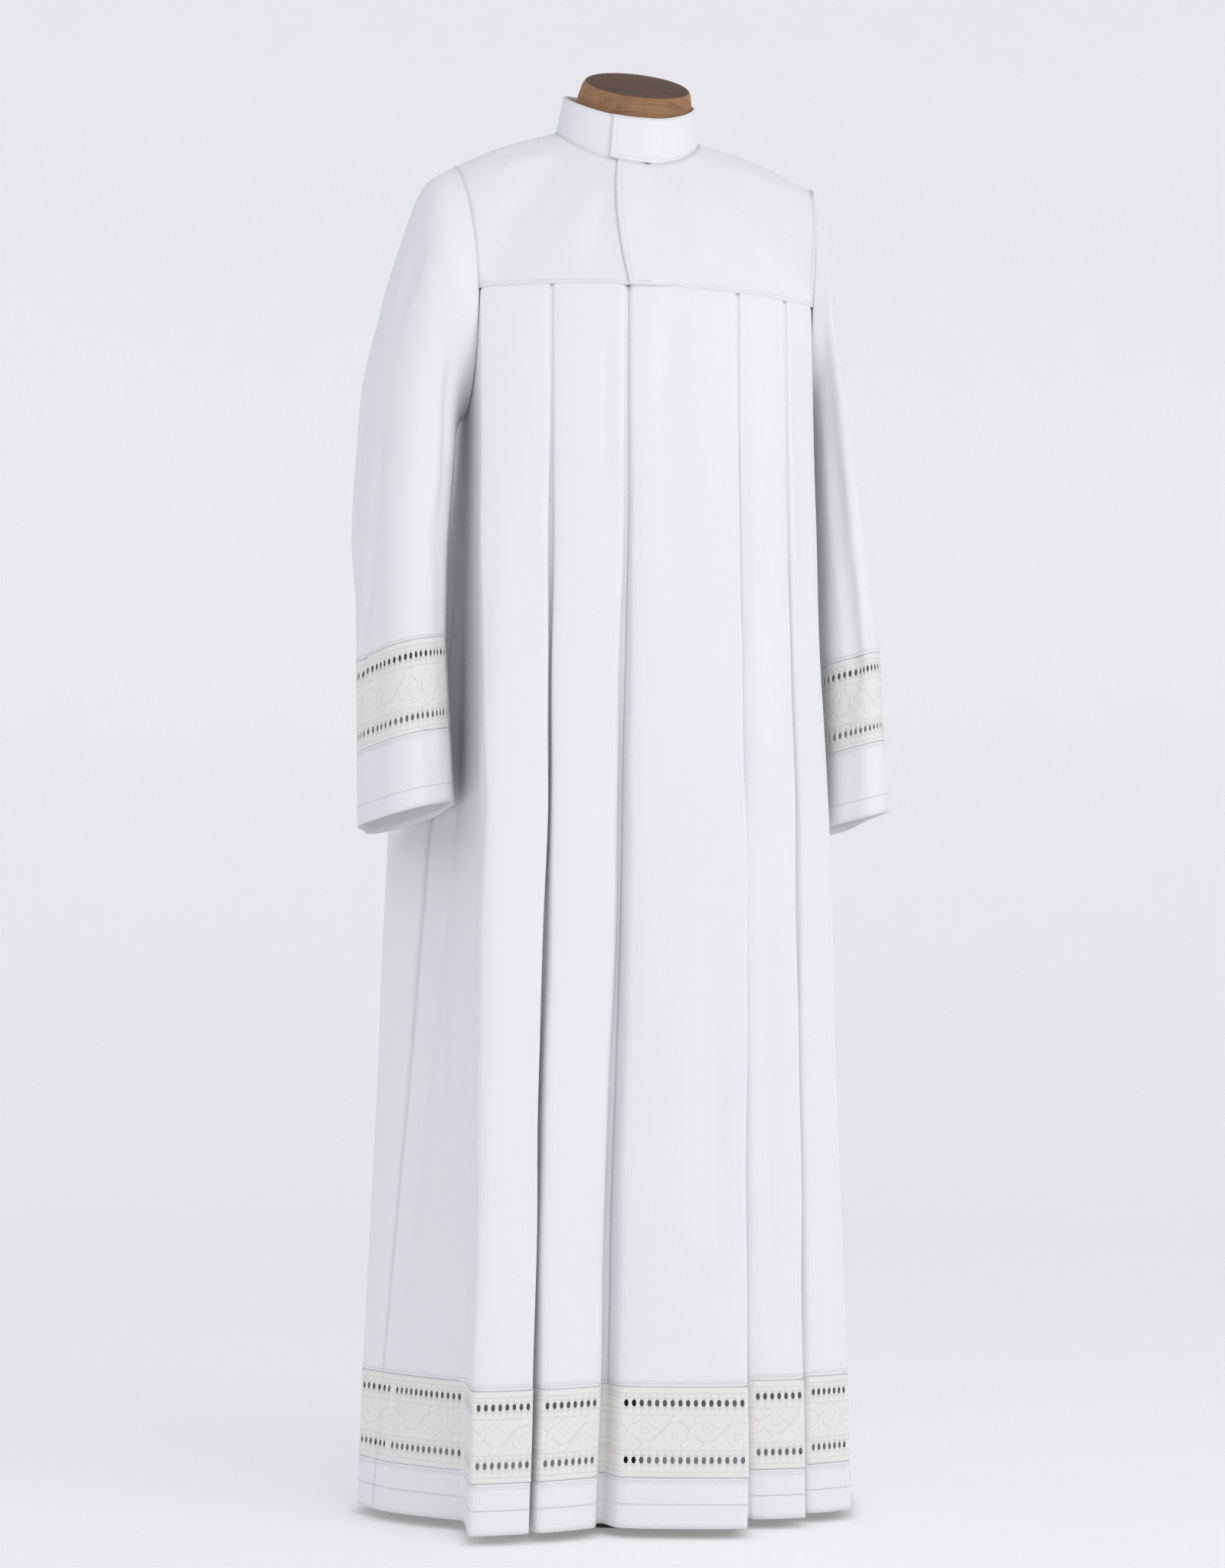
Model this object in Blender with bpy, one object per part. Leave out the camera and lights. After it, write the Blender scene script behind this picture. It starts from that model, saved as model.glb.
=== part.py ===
"""Alb on a dress form: pleated white robe with a yoke, a stand collar and lace bands.

Metres, +Z up. The robe faces -Y and its own right side is -X. The origin is the
centre of the stand's foot, on the floor.
"""

import math

import bmesh
import bpy
from mathutils import Vector

MM = 0.001

# Cloth
CLOTH = 1.5 * MM            # wall of every panel
COLLAR_CLOTH = 2.0 * MM     # the collar is faced, so it is thicker
SEAM = 0.3 * MM             # space between neighbouring pieces
REST = 0.5 * MM             # space between the cloth and the form it rests on

# Heights above the floor
HEM_Z = 10 * MM
HEM_LACE_Z = (60 * MM, 152 * MM)
HEM_HOLE_ROWS = (78 * MM, 135 * MM)
CUFF_Z = 745 * MM
SLEEVE_LACE_Z = (823 * MM, 922 * MM)
SLEEVE_HOLE_ROWS = (840 * MM, 905 * MM)
MID_Z = 740 * MM            # level of the middle columns in FOLDS
FLARE_POWER = 1.5           # above it the skirt keeps close to the body, then flares
YOKE_Z = 1307 * MM
ARM_CENTRE_Z = 1325 * MM

# Lace holes
HOLE_WIDTH = 4.5 * MM
HOLE_HEIGHT = 7.0 * MM
HOLE_CELLS = (1, 3)         # rows of a lace band's cells that hold holes
HEM_HOLE_PITCH = 24.6 * MM
CUFF_HOLE_PITCH = 16.4 * MM

# Plan of the yoke and the armholes, from the neck's axis
NECK_Y = -30 * MM           # the neck's axis lies in front of the foot's centre
CHEST_Y = -134 * MM
BACK_Y = 124 * MM
ARM_CENTRE_Y = 5 * MM
ARM_HALF_DEPTH = 93 * MM
ARM_HALF_HEIGHT = 140 * MM
ARM_X_LOW = 186 * MM
ARM_X_HIGH = 204 * MM
ARM_X_HOLLOW = 8 * MM       # the armhole cuts in this much at the chest and the back
SEAM_CURVE = 2.2            # the yoke's lower edge is flat in the middle and turns back at its ends
ARM_DIP = math.degrees(math.asin((ARM_CENTRE_Z - YOKE_Z) / ARM_HALF_HEIGHT))
YOKE_RISE = (1 - math.sin(math.radians(ARM_DIP))) / 2
YOKE_HALF_WIDTH = (ARM_X_LOW + (ARM_X_HIGH - ARM_X_LOW) * YOKE_RISE
                   - ARM_X_HOLLOW * math.cos(math.radians(ARM_DIP)) ** 2)

# Stations run round the yoke; angles are round the neck, from the front
STATION_TURN = 50           # degrees of the neck that one station of the front or back takes
ARM_TURN = 40               # degrees from a shoulder to where the front or the back begins
FRONT_BULGE = (4, 9)        # mm in the middle, and more towards the armhole
BACK_BULGE = (14, 2)        # mm in the middle, and less towards the armhole
SHOULDER_BULGE = (5, 8, 7)  # mm at the shoulder, and more towards the front and the back

# Neck and collar
NECK_HALF_WIDTH = 80 * MM
NECK_X = -5 * MM            # the neckline sits a little to the robe's own right
NECK_FRONT = 72 * MM
NECK_BACK = 70 * MM
COLLAR_LEAN = 6 * MM        # the collar narrows this much towards its top
NECK_Z = (1462 * MM, 1530 * MM, 18 * MM)      # front, back, rise at the sides
COLLAR_Z = (1515 * MM, 1578 * MM, 10 * MM)
OPENING_X = -30 * MM        # edge of the left front, which laps over the right one
UNDERLAP = 24 * MM
COLLAR_STEP = 8 * MM        # the collar's end lies this much outside the opening
LAP_ANGLE = 5               # the collar's left end is raised over its right one up to here
LAP_EASE = 12               # and comes down over this many degrees more
COLLAR_SPANS = 30

# Form and stand
BLOCK_HALF_WIDTH = 68.5 * MM
BLOCK_HALF_DEPTH = 60 * MM
BLOCK_TOP_Z = 1577 * MM
BLOCK_SLOPE = 0.61          # its top falls this much per metre towards the front
BLOCK_SIDES = 36
BLOCK_RINGS = (
    # share of the height, narrower by mm on each side, shift to the left side in mm
    (0.0, 0.0, 0.0),
    (0.55, 2.5, 2.0),
    (0.92, 7.0, 6.0),
    (1.0, 10.0, 7.0),
)
POLE_RADIUS = 16 * MM
FOOT_RADIUS = 118 * MM
FOOT_HEIGHT = 22 * MM
FOOT_EDGE = 5 * MM

# Flat faces of the folds, in order from the front opening round by the left side.
# Each face runs from (ax, ay) to (bx, by), in millimetres from the neck's axis, at the
# hem and at the middle level. At the top it runs from a to b along the edge it is sewn
# to: x on the front or back yoke, y on an armhole. The space after a face is a groove of
# the given depths (hem, middle, top), or a step where the depths are zero.
FOLDS = (
    # name, hem ax, ay, bx, by, middle ax, ay, bx, by, edge, top a, b, groove depths
    ("front left centre", -46, -142, 84, -176, -29, -142, 92, -160, "front", -27, 90, (8, 8, 3)),
    ("front left", 103, -121, 162, -121, 100, -119, 158, -112, "front", 94, 148, (14, 12, 3)),
    ("front left edge", 171, -96, 222, -78, 164, -100, 203, -86, "front", 152, 184, (0, 0, 0)),
    ("left side", 236, -26, 251, 34, 183, -40, 180, 30, "left", -79, -4, (0, 0, 0)),
    ("back left edge", 262, 76, 248, 140, 222, 96, 214, 132, "left", 30, 88, (34, 24, 2)),
    ("back left", 238, 176, 178, 226, 203, 146, 150, 184, "back", 178, 126, (42, 28, 3)),
    ("back left centre", 162, 232, 70, 255, 140, 190, 62, 206, "back", 120, 52, (48, 30, 3)),
    ("back centre", 54, 250, -60, 253, 48, 201, -50, 203, "back", 47, -46, (48, 30, 3)),
    ("back right centre", -78, 258, -168, 233, -66, 207, -142, 190, "back", -51, -118, (42, 28, 3)),
    ("back right", -184, 226, -243, 176, -154, 184, -208, 150, "back", -122, -178, (34, 24, 3)),
    ("back right edge", -258, 150, -287, 74, -228, 142, -257, 106, "right", 88, 40, (0, 0, 0)),
    ("right side", -268, 16, -192, -64, -186, 50, -180, -62, "right", 4, -79, (0, 0, 0)),
    ("front right edge", -199, -162, -135, -158, -184, -140, -118, -142, "front", -184, -114, (40, 28, 3)),
    ("front right centre", -130, -158, -66, -137, -113, -142, -45, -136, "front", -110, -35, (28, 20, 5)),
)
LEFT_SEAM_AFTER = "left side"
RIGHT_SEAM_AFTER = "back right edge"
FOLD_ROUNDING = 3 * MM
SHARPEST_TURN = 0.6         # keeps the inner side of a sharp fold from running away
GROOVE_WIDTH = (4.5 * MM, 4.0 * MM, 3.0 * MM)     # hem, middle, top
FACE_SWELL = 0.03           # a face swells by this share of its width
MOST_OF_STEP = 0.4          # the rounding takes at most this share of the way inwards
FACE_STOPS = (0.33, 0.67)   # places of the points along a face of the skirt
STEP_SHARES = (0.33, 0.67)  # places of the points across a step without a groove
SKIRT_LEVELS = (0.0, 0.2, 0.42, 0.62, 0.8, 0.92, 1.0)

# Sleeve rings below the armhole, in millimetres: inner and outer end of each ring in
# the front view, and its half depth. The left sleeve hangs flatter and closer.
SLEEVE_RINGS = {
    "right": (
        # inner x, inner z, outer x, outer z, half depth
        (191, 1182, 233, 1436, 96),
        (196, 1172, 255, 1370, 99),
        (199, 1155, 275, 1298, 101),
        (200, 1125, 290, 1220, 101),
        (203, 1080, 299, 1132, 100),
        (206, 1020, 303, 1044, 98),
    ),
    "left": (
        # inner x, inner z, outer x, outer z, half depth
        (191, 1182, 208, 1428, 95),
        (193, 1172, 216, 1366, 97),
        (195, 1155, 225, 1295, 99),
        (196, 1125, 235, 1218, 100),
        (197, 1080, 247, 1132, 99),
        (198, 1020, 260, 1044, 97),
    ),
}
# Level rings of the lace and the cuff: inner and outer x at the lace's top, then at the
# cuff's edge.
SLEEVE_ENDS = {"right": (207, 304, 197, 301), "left": (199, 276, 199, 285)}
SLEEVE_HALF_DEPTH = 95 * MM
SLEEVE_Y = -8 * MM
SLEEVE_TILT = 0.25          # the lace and cuff rise this much per metre towards +X
SLEEVE_SIDES = 32
FOLD_GROWTH = 1.5           # its folds are shallow at the armhole and grow downwards
# Long soft folds of a sleeve, each at an angle round it measured from the back
SLEEVE_FOLDS = (
    # angle, depth mm, half width in degrees
    (205, 5.0, 26),
    (250, 4.0, 20),
    (330, 5.0, 24),
    (60, 5.0, 26),
    (130, 4.0, 24),
)

# Torso of the form below the yoke, from the bottom up
TORSO_RINGS = (
    # z, half width, front, back, mm
    (775, 128, 86, 90),
    (800, 150, 100, 104),
    (860, 154, 104, 108),
    (940, 138, 98, 98),
    (1030, 124, 90, 84),
    (1120, 138, 98, 90),
    (1200, 152, 108, 96),
    (1262, 156, 111, 102),
)
TORSO_POWER = 0.85          # under 1 makes its rings squarer than an ellipse
TORSO_EASE = 14 * MM        # the torso falls back this much at the yoke's lower edge
TORSO_FRONT_TURN = 60       # degrees round the torso from its front to where an armhole begins
TORSO_ARM_TURN = 30         # and from there to the shoulder
YOKE_SHARES = (1.0, 0.75, 0.5, 0.25, 0.0)

WHITE = (0.86, 0.88, 0.89, 1.0)
LACE_WHITE = (0.80, 0.79, 0.75, 1.0)
BROWN = (0.25, 0.15, 0.08, 1.0)
STAND_BLACK = (0.10, 0.10, 0.10, 1.0)


def clear_scene():
    for item in list(bpy.data.objects):
        bpy.data.objects.remove(item, do_unlink=True)


def material(name, colour, roughness):
    result = bpy.data.materials.new(name)
    result.use_nodes = True
    shader = result.node_tree.nodes["Principled BSDF"]
    shader.inputs["Base Color"].default_value = colour
    shader.inputs["Roughness"].default_value = roughness
    return result


def finish_object(name, mesh_data, surface):
    """Turn the faces outwards, split them into triangles and make the mesh an object."""
    bmesh.ops.recalc_face_normals(mesh_data, faces=mesh_data.faces)
    bmesh.ops.triangulate(mesh_data, faces=mesh_data.faces)
    mesh = bpy.data.meshes.new(name)
    mesh_data.to_mesh(mesh)
    mesh_data.free()
    mesh.materials.append(surface)
    item = bpy.data.objects.new(name, mesh)
    item.location = (0.0, NECK_Y, 0.0)
    bpy.context.scene.collection.objects.link(item)
    return item


def add_quad(mesh_data, a, b, c, d):
    """Two triangles that share the side from a to c, so that matching walls match."""
    mesh_data.faces.new((a, b, c))
    mesh_data.faces.new((a, c, d))


def wall(name, outer, inner, surface, closed=False, holes=()):
    """Make a cloth wall from two grids of points, with rims and cut holes.

    outer and inner are lists of rows, bottom first. A hole is a (row, column) cell.
    """
    mesh_data = bmesh.new()
    rows = len(outer)
    columns = len(outer[0])
    grids = []
    for grid in (outer, inner):
        grids.append([[mesh_data.verts.new(point) for point in row] for row in grid])
    spans = columns if closed else columns - 1
    cells = {(i, j) for i in range(rows - 1) for j in range(spans)} - set(holes)
    for i, j in sorted(cells):
        k = (j + 1) % columns
        for grid in grids:
            add_quad(mesh_data, grid[i][j], grid[i][k], grid[i + 1][k], grid[i + 1][j])
        borders = (
            ((i - 1, j), (i, j), (i, k)),
            ((i + 1, j), (i + 1, k), (i + 1, j)),
            ((i, (j - 1) % columns if closed else j - 1), (i + 1, j), (i, j)),
            ((i, (j + 1) % columns if closed else j + 1), (i, k), (i + 1, k)),
        )
        for neighbour, start, end in borders:
            if neighbour in cells:
                continue
            near = [grid[start[0]][start[1]] for grid in grids]
            far = [grid[end[0]][end[1]] for grid in grids]
            add_quad(mesh_data, near[0], far[0], far[1], near[1])
    return finish_object(name, mesh_data, surface)


def solid_of_rings(name, rings, surface):
    """Make a closed solid from rings of equal length, capped at both ends."""
    mesh_data = bmesh.new()
    grid = [[mesh_data.verts.new(point) for point in ring] for ring in rings]
    count = len(rings[0])
    for low, high in zip(grid, grid[1:]):
        for j in range(count):
            k = (j + 1) % count
            add_quad(mesh_data, low[j], low[k], high[k], high[j])
    mesh_data.faces.new(grid[0][::-1])
    mesh_data.faces.new(grid[-1])
    return finish_object(name, mesh_data, surface)


def three_levels(low, middle, high, z, top_z=YOKE_Z):
    """Value at height z of something given at the hem, the middle level and its top."""
    if z < MID_Z:
        return low + (middle - low) * (z - HEM_Z) / (MID_Z - HEM_Z)
    share = (top_z - z) / (top_z - MID_Z)
    return high + (middle - high) * max(0.0, share) ** FLARE_POWER


def armhole_x(y, z):
    """Distance of the armhole's edge from the middle plane."""
    rise = (z - (ARM_CENTRE_Z - ARM_HALF_HEIGHT)) / (2 * ARM_HALF_HEIGHT)
    across = (y - ARM_CENTRE_Y) / ARM_HALF_DEPTH
    return ARM_X_LOW + (ARM_X_HIGH - ARM_X_LOW) * rise - ARM_X_HOLLOW * across * across


def seam_line(x, back=False):
    """Y of the yoke's lower edge at x, at the front or the back."""
    middle = BACK_Y if back else CHEST_Y
    corner_reach = ARM_HALF_DEPTH * math.cos(math.radians(ARM_DIP))
    corner = ARM_CENTRE_Y + (corner_reach if back else -corner_reach)
    return middle + (corner - middle) * (abs(x) / YOKE_HALF_WIDTH) ** SEAM_CURVE


def top_of_fold(edge, value):
    """Plan point and height where a fold's edge is sewn on."""
    value = value * MM
    if edge in ("front", "back"):
        return Vector((value, seam_line(value, edge == "back"))), YOKE_Z
    across = (value - ARM_CENTRE_Y) / ARM_HALF_DEPTH
    z = ARM_CENTRE_Z - ARM_HALF_HEIGHT * math.sqrt(max(0.0, 1.0 - across * across))
    side = 1.0 if edge == "left" else -1.0
    return Vector((side * armhole_x(value, z), value)), z


def fold_point(fold, place, z):
    """Plan point at height z on a fold's face, where place runs from 0 at a to 1 at b."""
    _, hax, hay, hbx, hby, max_, may, mbx, mby, edge, top_a, top_b, _ = fold
    high, top_z = top_of_fold(edge, top_a + (top_b - top_a) * place)
    hem_x, hem_y = hax + (hbx - hax) * place, hay + (hby - hay) * place
    mid_x, mid_y = max_ + (mbx - max_) * place, may + (mby - may) * place
    x = three_levels(hem_x * MM, mid_x * MM, high.x, z, top_z)
    y = three_levels(hem_y * MM, mid_y * MM, high.y, z, top_z)
    return Vector((x, y))


def top_height(fold, place):
    """Height at which a fold is sewn on, at a place along its face."""
    return top_of_fold(fold[9], fold[10] + (fold[11] - fold[10]) * place)[1]


def step_towards(corner, target):
    """Point beside a fold's corner, on the way into the groove but well before it."""
    way = target - corner
    return corner + way * min(MOST_OF_STEP, FOLD_ROUNDING / way.length)


def section(height_of, stops):
    """Outline of the skirt as plan points, with the z of each.

    height_of(top) gives z for a column that is sewn on at the height top. stops holds, for
    each fold, the places along its face where a point is wanted. Returns, for each point,
    its plan point, z, fold index, and stop index or None.
    """
    points = []
    count = len(FOLDS)
    for index, fold in enumerate(FOLDS):
        after = FOLDS[(index + 1) % count]
        top_b = top_height(fold, 1)
        z_a, z_b = height_of(top_height(fold, 0)), height_of(top_b)
        z_next = height_of(top_height(after, 0))
        start, end = fold_point(fold, 0, z_a), fold_point(fold, 1, z_b)
        following = fold_point(after, 0, z_next), fold_point(after, 1, z_next)
        along = (end - start).normalized()
        outward = Vector((along.y, -along.x))
        width = (end - start).length
        next_along = (following[1] - following[0]).normalized()
        mean = (along + next_along).normalized()
        inward = Vector((-mean.y, mean.x))
        depth = three_levels(*(value * MM for value in fold[12]), z_b, top_b)
        # face
        points.append((start + along * FOLD_ROUNDING, z_a, index, None))
        for number, stop in enumerate(stops[index]):
            place = (FOLD_ROUNDING + (width - 2 * FOLD_ROUNDING) * stop) / width
            top = top_height(fold, place)
            z = height_of(top)
            swell = FACE_SWELL * width * 4 * stop * (1 - stop) * three_levels(1.0, 1.0, 0.0, z, top)
            points.append((fold_point(fold, place, z) + outward * swell, z, index, number))
        points.append((end - along * FOLD_ROUNDING, z_b, index, None))
        # space after it
        if max(fold[12]) > 0:
            wide = three_levels(*GROOVE_WIDTH, z_b, top_b)
            deeper = end if (following[0] - end).dot(inward) < 0 else following[0]
            level = deeper.dot(inward) + depth
            spread = max(0.0, (following[0] - end).dot(mean) - wide) / 2
            low_b = end + mean * spread + inward * (level - end.dot(inward))
            low_a = following[0] - mean * spread + inward * (level - following[0].dot(inward))
            low_z = (z_b, z_next)
        else:
            low_b, low_a = (end.lerp(following[0], share) for share in STEP_SHARES)
            low_z = tuple(z_b + (z_next - z_b) * share for share in STEP_SHARES)
        points.append((step_towards(end, low_b), z_b, index, None))
        points.append((low_b, low_z[0], index, None))
        points.append((low_a, low_z[1], index, None))
        points.append((step_towards(following[0], low_a), z_next, index, None))
    return points


def inward_offsets(outline, thickness):
    """Points moved inwards by thickness, on a closed plan outline run anticlockwise."""
    count = len(outline)
    moved = []
    for i, point in enumerate(outline):
        first = (point - outline[i - 1]).normalized()
        second = (outline[(i + 1) % count] - point).normalized()
        tangent = (first + second).normalized()
        stretch = 1.0 / max(SHARPEST_TURN, tangent.dot(first))
        moved.append(point + Vector((-tangent.y, tangent.x)) * thickness * stretch)
    return moved


def skirt_rows(heights, stops, thickness):
    """Outer and inner grids of the whole skirt at the given levels."""
    outer, inner, marks = [], [], None
    for height_of in heights:
        points = section(height_of, stops)
        marks = [(entry[2], entry[3]) for entry in points]
        plan = [entry[0] for entry in points]
        shifted = inward_offsets(plan, thickness)
        outer.append([Vector((p.x, p.y, entry[1])) for p, entry in zip(plan, points)])
        inner.append([Vector((p.x, p.y, entry[1])) for p, entry in zip(shifted, points)])
    return outer, inner, marks


def fold_index(name):
    return [fold[0] for fold in FOLDS].index(name)


def panel_columns(marks):
    """Column ranges of the front left, back and front right panels."""
    left = fold_index(LEFT_SEAM_AFTER)
    right = fold_index(RIGHT_SEAM_AFTER)
    ends = []
    for seam in (left, right, len(FOLDS) - 1):
        columns = [c for c, mark in enumerate(marks) if mark[0] == seam]
        ends.append(columns[-2])
    return ends


def cut_grid(grid, first, last):
    """Columns first to last, run round the end, drawn in by half a seam at both ends."""
    result = []
    for row in grid:
        count = len(row)
        span = (last - first) % count + 1
        piece = [row[(first + j) % count].copy() for j in range(span)]
        for end, beside in ((0, 1), (-1, -2)):
            step = piece[beside] - piece[end]
            step.z = 0.0
            piece[end] = piece[end] + step.normalized() * SEAM / 2
        result.append(piece)
    return result


def rising_levels(low, shares):
    """Height functions from low up to a column's own top."""
    def at(share):
        def height(top):
            return low + (top - low) * share
        return height
    return [at(share) for share in shares]


def fixed_levels(values):
    """Height functions of level rows."""
    def at(value):
        def height(_top):
            return value
        return height
    return [at(value) for value in values]


def build_skirt(surface):
    stops = [FACE_STOPS] * len(FOLDS)
    bottom = HEM_LACE_Z[1] + SEAM / 2
    outer, inner, marks = skirt_rows(rising_levels(bottom, SKIRT_LEVELS), stops, CLOTH)
    for grid in (outer, inner):
        for column in range(len(marks)):
            grid[-1][column].z -= SEAM / 2
    left, right, centre = panel_columns(marks)
    pieces = (
        ("skirt_front_left", centre, left),
        ("skirt_back", left, right),
        ("skirt_front_right", right, centre),
    )
    for name, first, last in pieces:
        wall(name, cut_grid(outer, first, last), cut_grid(inner, first, last), surface)


def hole_stops(width):
    """Places of hole edges along a face of this width, in pairs."""
    count = max(1, int((width - 2 * FOLD_ROUNDING) / HEM_HOLE_PITCH))
    half = HOLE_WIDTH / 2 / (width - 2 * FOLD_ROUNDING)
    stops = []
    for k in range(count):
        centre = (k + 0.5) / count
        stops += [centre - half, centre + half]
    return tuple(stops)


def lace_levels(band, rows):
    """Levels of a lace band: its edges and the edges of its two rows of holes."""
    half = HOLE_HEIGHT / 2
    low, high = rows
    return (band[0] + SEAM / 2, low - half, low + half, high - half, high + half, band[1] - SEAM / 2)


def build_hem(cloth_surface, lace_surface):
    stops = []
    for fold in FOLDS:
        start, end = (fold_point(fold, place, HEM_HOLE_ROWS[0]) for place in (0, 1))
        stops.append(hole_stops((end - start).length))
    outer, inner, marks = skirt_rows(fixed_levels(lace_levels(HEM_LACE_Z, HEM_HOLE_ROWS)), stops, CLOTH)
    left, right, _ = panel_columns(marks)
    holes = [column for column, mark in enumerate(marks) if mark[1] is not None and mark[1] % 2 == 0]
    count = len(marks)
    for name, first, last in (("hem_lace_back", left, right), ("hem_lace_front", right, left)):
        span = (last - first) % count
        cut = [(row, (column - first) % count) for row in HOLE_CELLS for column in holes
               if (column - first) % count < span]
        wall(name, cut_grid(outer, first, last), cut_grid(inner, first, last), lace_surface, holes=cut)
    plain = [(0.5,)] * len(FOLDS)
    edges = (HEM_Z, HEM_LACE_Z[0] - SEAM / 2)
    outer, inner, marks = skirt_rows(fixed_levels(edges), plain, CLOTH)
    left, right, _ = panel_columns(marks)
    for name, first, last in (("hem_band_back", left, right), ("hem_band_front", right, left)):
        wall(name, cut_grid(outer, first, last), cut_grid(inner, first, last), cloth_surface)


def neck_point(angle, half_width, front, back, heights):
    """Point of a ring round the neck; angle 0 is the front, 90 degrees the left side."""
    turn = math.radians(angle)
    depth = front if math.cos(turn) > 0 else back
    low, high, rise = heights
    z = low + (high - low) * (1 - math.cos(turn)) / 2 + rise * math.sin(turn) ** 2
    return Vector((half_width * math.sin(turn) + NECK_X, -depth * math.cos(turn), z))


def neck_angle(x):
    """Angle round the neckline, near the front, where it has this x."""
    return math.degrees(math.asin((x - NECK_X) / NECK_HALF_WIDTH))


def straight_station(x):
    """Stations at the neckline and at the lower edge of a line of constant x."""
    return neck_angle(x) / STATION_TURN, x / YOKE_HALF_WIDTH


def at_share(station, share):
    """Station at a share of the way down: a number, or a pair for a straight line."""
    if isinstance(station, tuple):
        return station[0] + (station[1] - station[0]) * share
    return station


def yoke_edge(q):
    """Lower edge of the yoke at station q, with the angle at the neck and the bulge.

    Stations run round the body: -1 to 1 along the front, 1 to 3 over the left armhole
    with the shoulder at 2, 3 to 5 along the back, and 5 to 7 over the right armhole.
    """
    q = (q + 1) % 8 - 1
    if q > 5:
        mirrored, angle, bulge = yoke_edge(8 - q)
        return Vector((-mirrored.x, mirrored.y, mirrored.z)), 360 - angle, bulge
    if q <= 1:
        x = YOKE_HALF_WIDTH * q
        bulge = FRONT_BULGE[0] + FRONT_BULGE[1] * q * q
        return Vector((x, seam_line(x), YOKE_Z)), STATION_TURN * q, bulge * MM
    if q > 3:
        across = 4 - q
        x = YOKE_HALF_WIDTH * across
        bulge = BACK_BULGE[0] - BACK_BULGE[1] * across * across
        return Vector((x, seam_line(x, True), YOKE_Z)), 180 - STATION_TURN * across, bulge * MM
    back = q > 2
    share = (3 - q) if back else (q - 1)
    turn = math.radians(-ARM_DIP + (90 + ARM_DIP) * share)
    reach = ARM_HALF_DEPTH * math.cos(turn)
    y = ARM_CENTRE_Y + (reach if back else -reach)
    z = ARM_CENTRE_Z + ARM_HALF_HEIGHT * math.sin(turn)
    bulge = SHOULDER_BULGE[0] + SHOULDER_BULGE[2 if back else 1] * (1 - share)
    angle = 90 + (ARM_TURN if back else -ARM_TURN) * (1 - share)
    return Vector((armhole_x(y, z), y, z)), angle, bulge * MM


def yoke_point(q, share):
    """Outer surface of the yoke: share 0 is the neckline, 1 its lower or outer edge."""
    edge, angle, bulge = yoke_edge(q)
    neck = neck_point(angle, NECK_HALF_WIDTH, NECK_FRONT, NECK_BACK, NECK_Z)
    chord = edge - neck
    lean = Vector((edge.x, edge.y, 0.0)).normalized() + Vector((0.0, 0.0, 1.0))
    lean -= chord * lean.dot(chord) / chord.length_squared
    return neck + chord * share + lean.normalized() * bulge * 4 * share * (1 - share)


def yoke_normal(q, share):
    step = 0.01
    low, high = max(0.0, share - step), min(1.0, share + step)
    down = yoke_point(q, high) - yoke_point(q, low)
    round_ = yoke_point(q + step, share) - yoke_point(q - step, share)
    return down.cross(round_).normalized()


def yoke_piece(name, stations, lifts, surface):
    """One piece of the yoke, between the neckline and its lower edge."""
    outer, inner = [], []
    for share in YOKE_SHARES:
        outer_row, inner_row = [], []
        for station, lift in zip(stations, lifts):
            q = at_share(station, share)
            normal = yoke_normal(q, share)
            point = yoke_point(q, share) + normal * lift
            outer_row.append(point)
            inner_row.append(point - normal * CLOTH)
        outer.append(outer_row)
        inner.append(inner_row)
    for grid in (outer, inner):
        for point in grid[0]:
            if point.z < YOKE_Z + CLOTH:
                point.z = YOKE_Z + SEAM / 2
    wall(name, outer, inner, surface)


def yoke_stations():
    """Stations of the left front, back and right front, without the lap."""
    left = [straight_station(OPENING_X + UNDERLAP * share) for share in (0.0, 0.5, 1.0)]
    left += [0.1 + 0.15 * k for k in range(7)]
    armhole = [0.1 * k for k in range(1, 10)]
    left += [1.0 + share for share in armhole] + [2.0]
    half_back = [2.0] + [2.0 + share for share in armhole] + [3.0, 3.25, 3.5, 3.75]
    back = half_back + [4.0] + [8.0 - q for q in reversed(half_back)]
    right = [6.0] + [6.0 + share for share in armhole]
    right += [7.0 + 0.15 * k for k in range(5)]
    right += [tuple(8.0 + q for q in station) for station in left[:3]]
    return left, back, right


def build_yoke(surface):
    gap = SEAM / NECK_HALF_WIDTH
    left, back, right = yoke_stations()
    lift = CLOTH + REST
    lifts = [lift, lift, lift] + [0.0] * (len(left) - 3)
    left[-1] -= gap
    right[0] += gap
    back[0] += gap
    back[-1] -= gap
    yoke_piece("yoke_front_left", left, lifts, surface)
    yoke_piece("yoke_front_right", right, [0.0] * len(right), surface)
    yoke_piece("yoke_back", back, [0.0] * len(back), surface)


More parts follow.
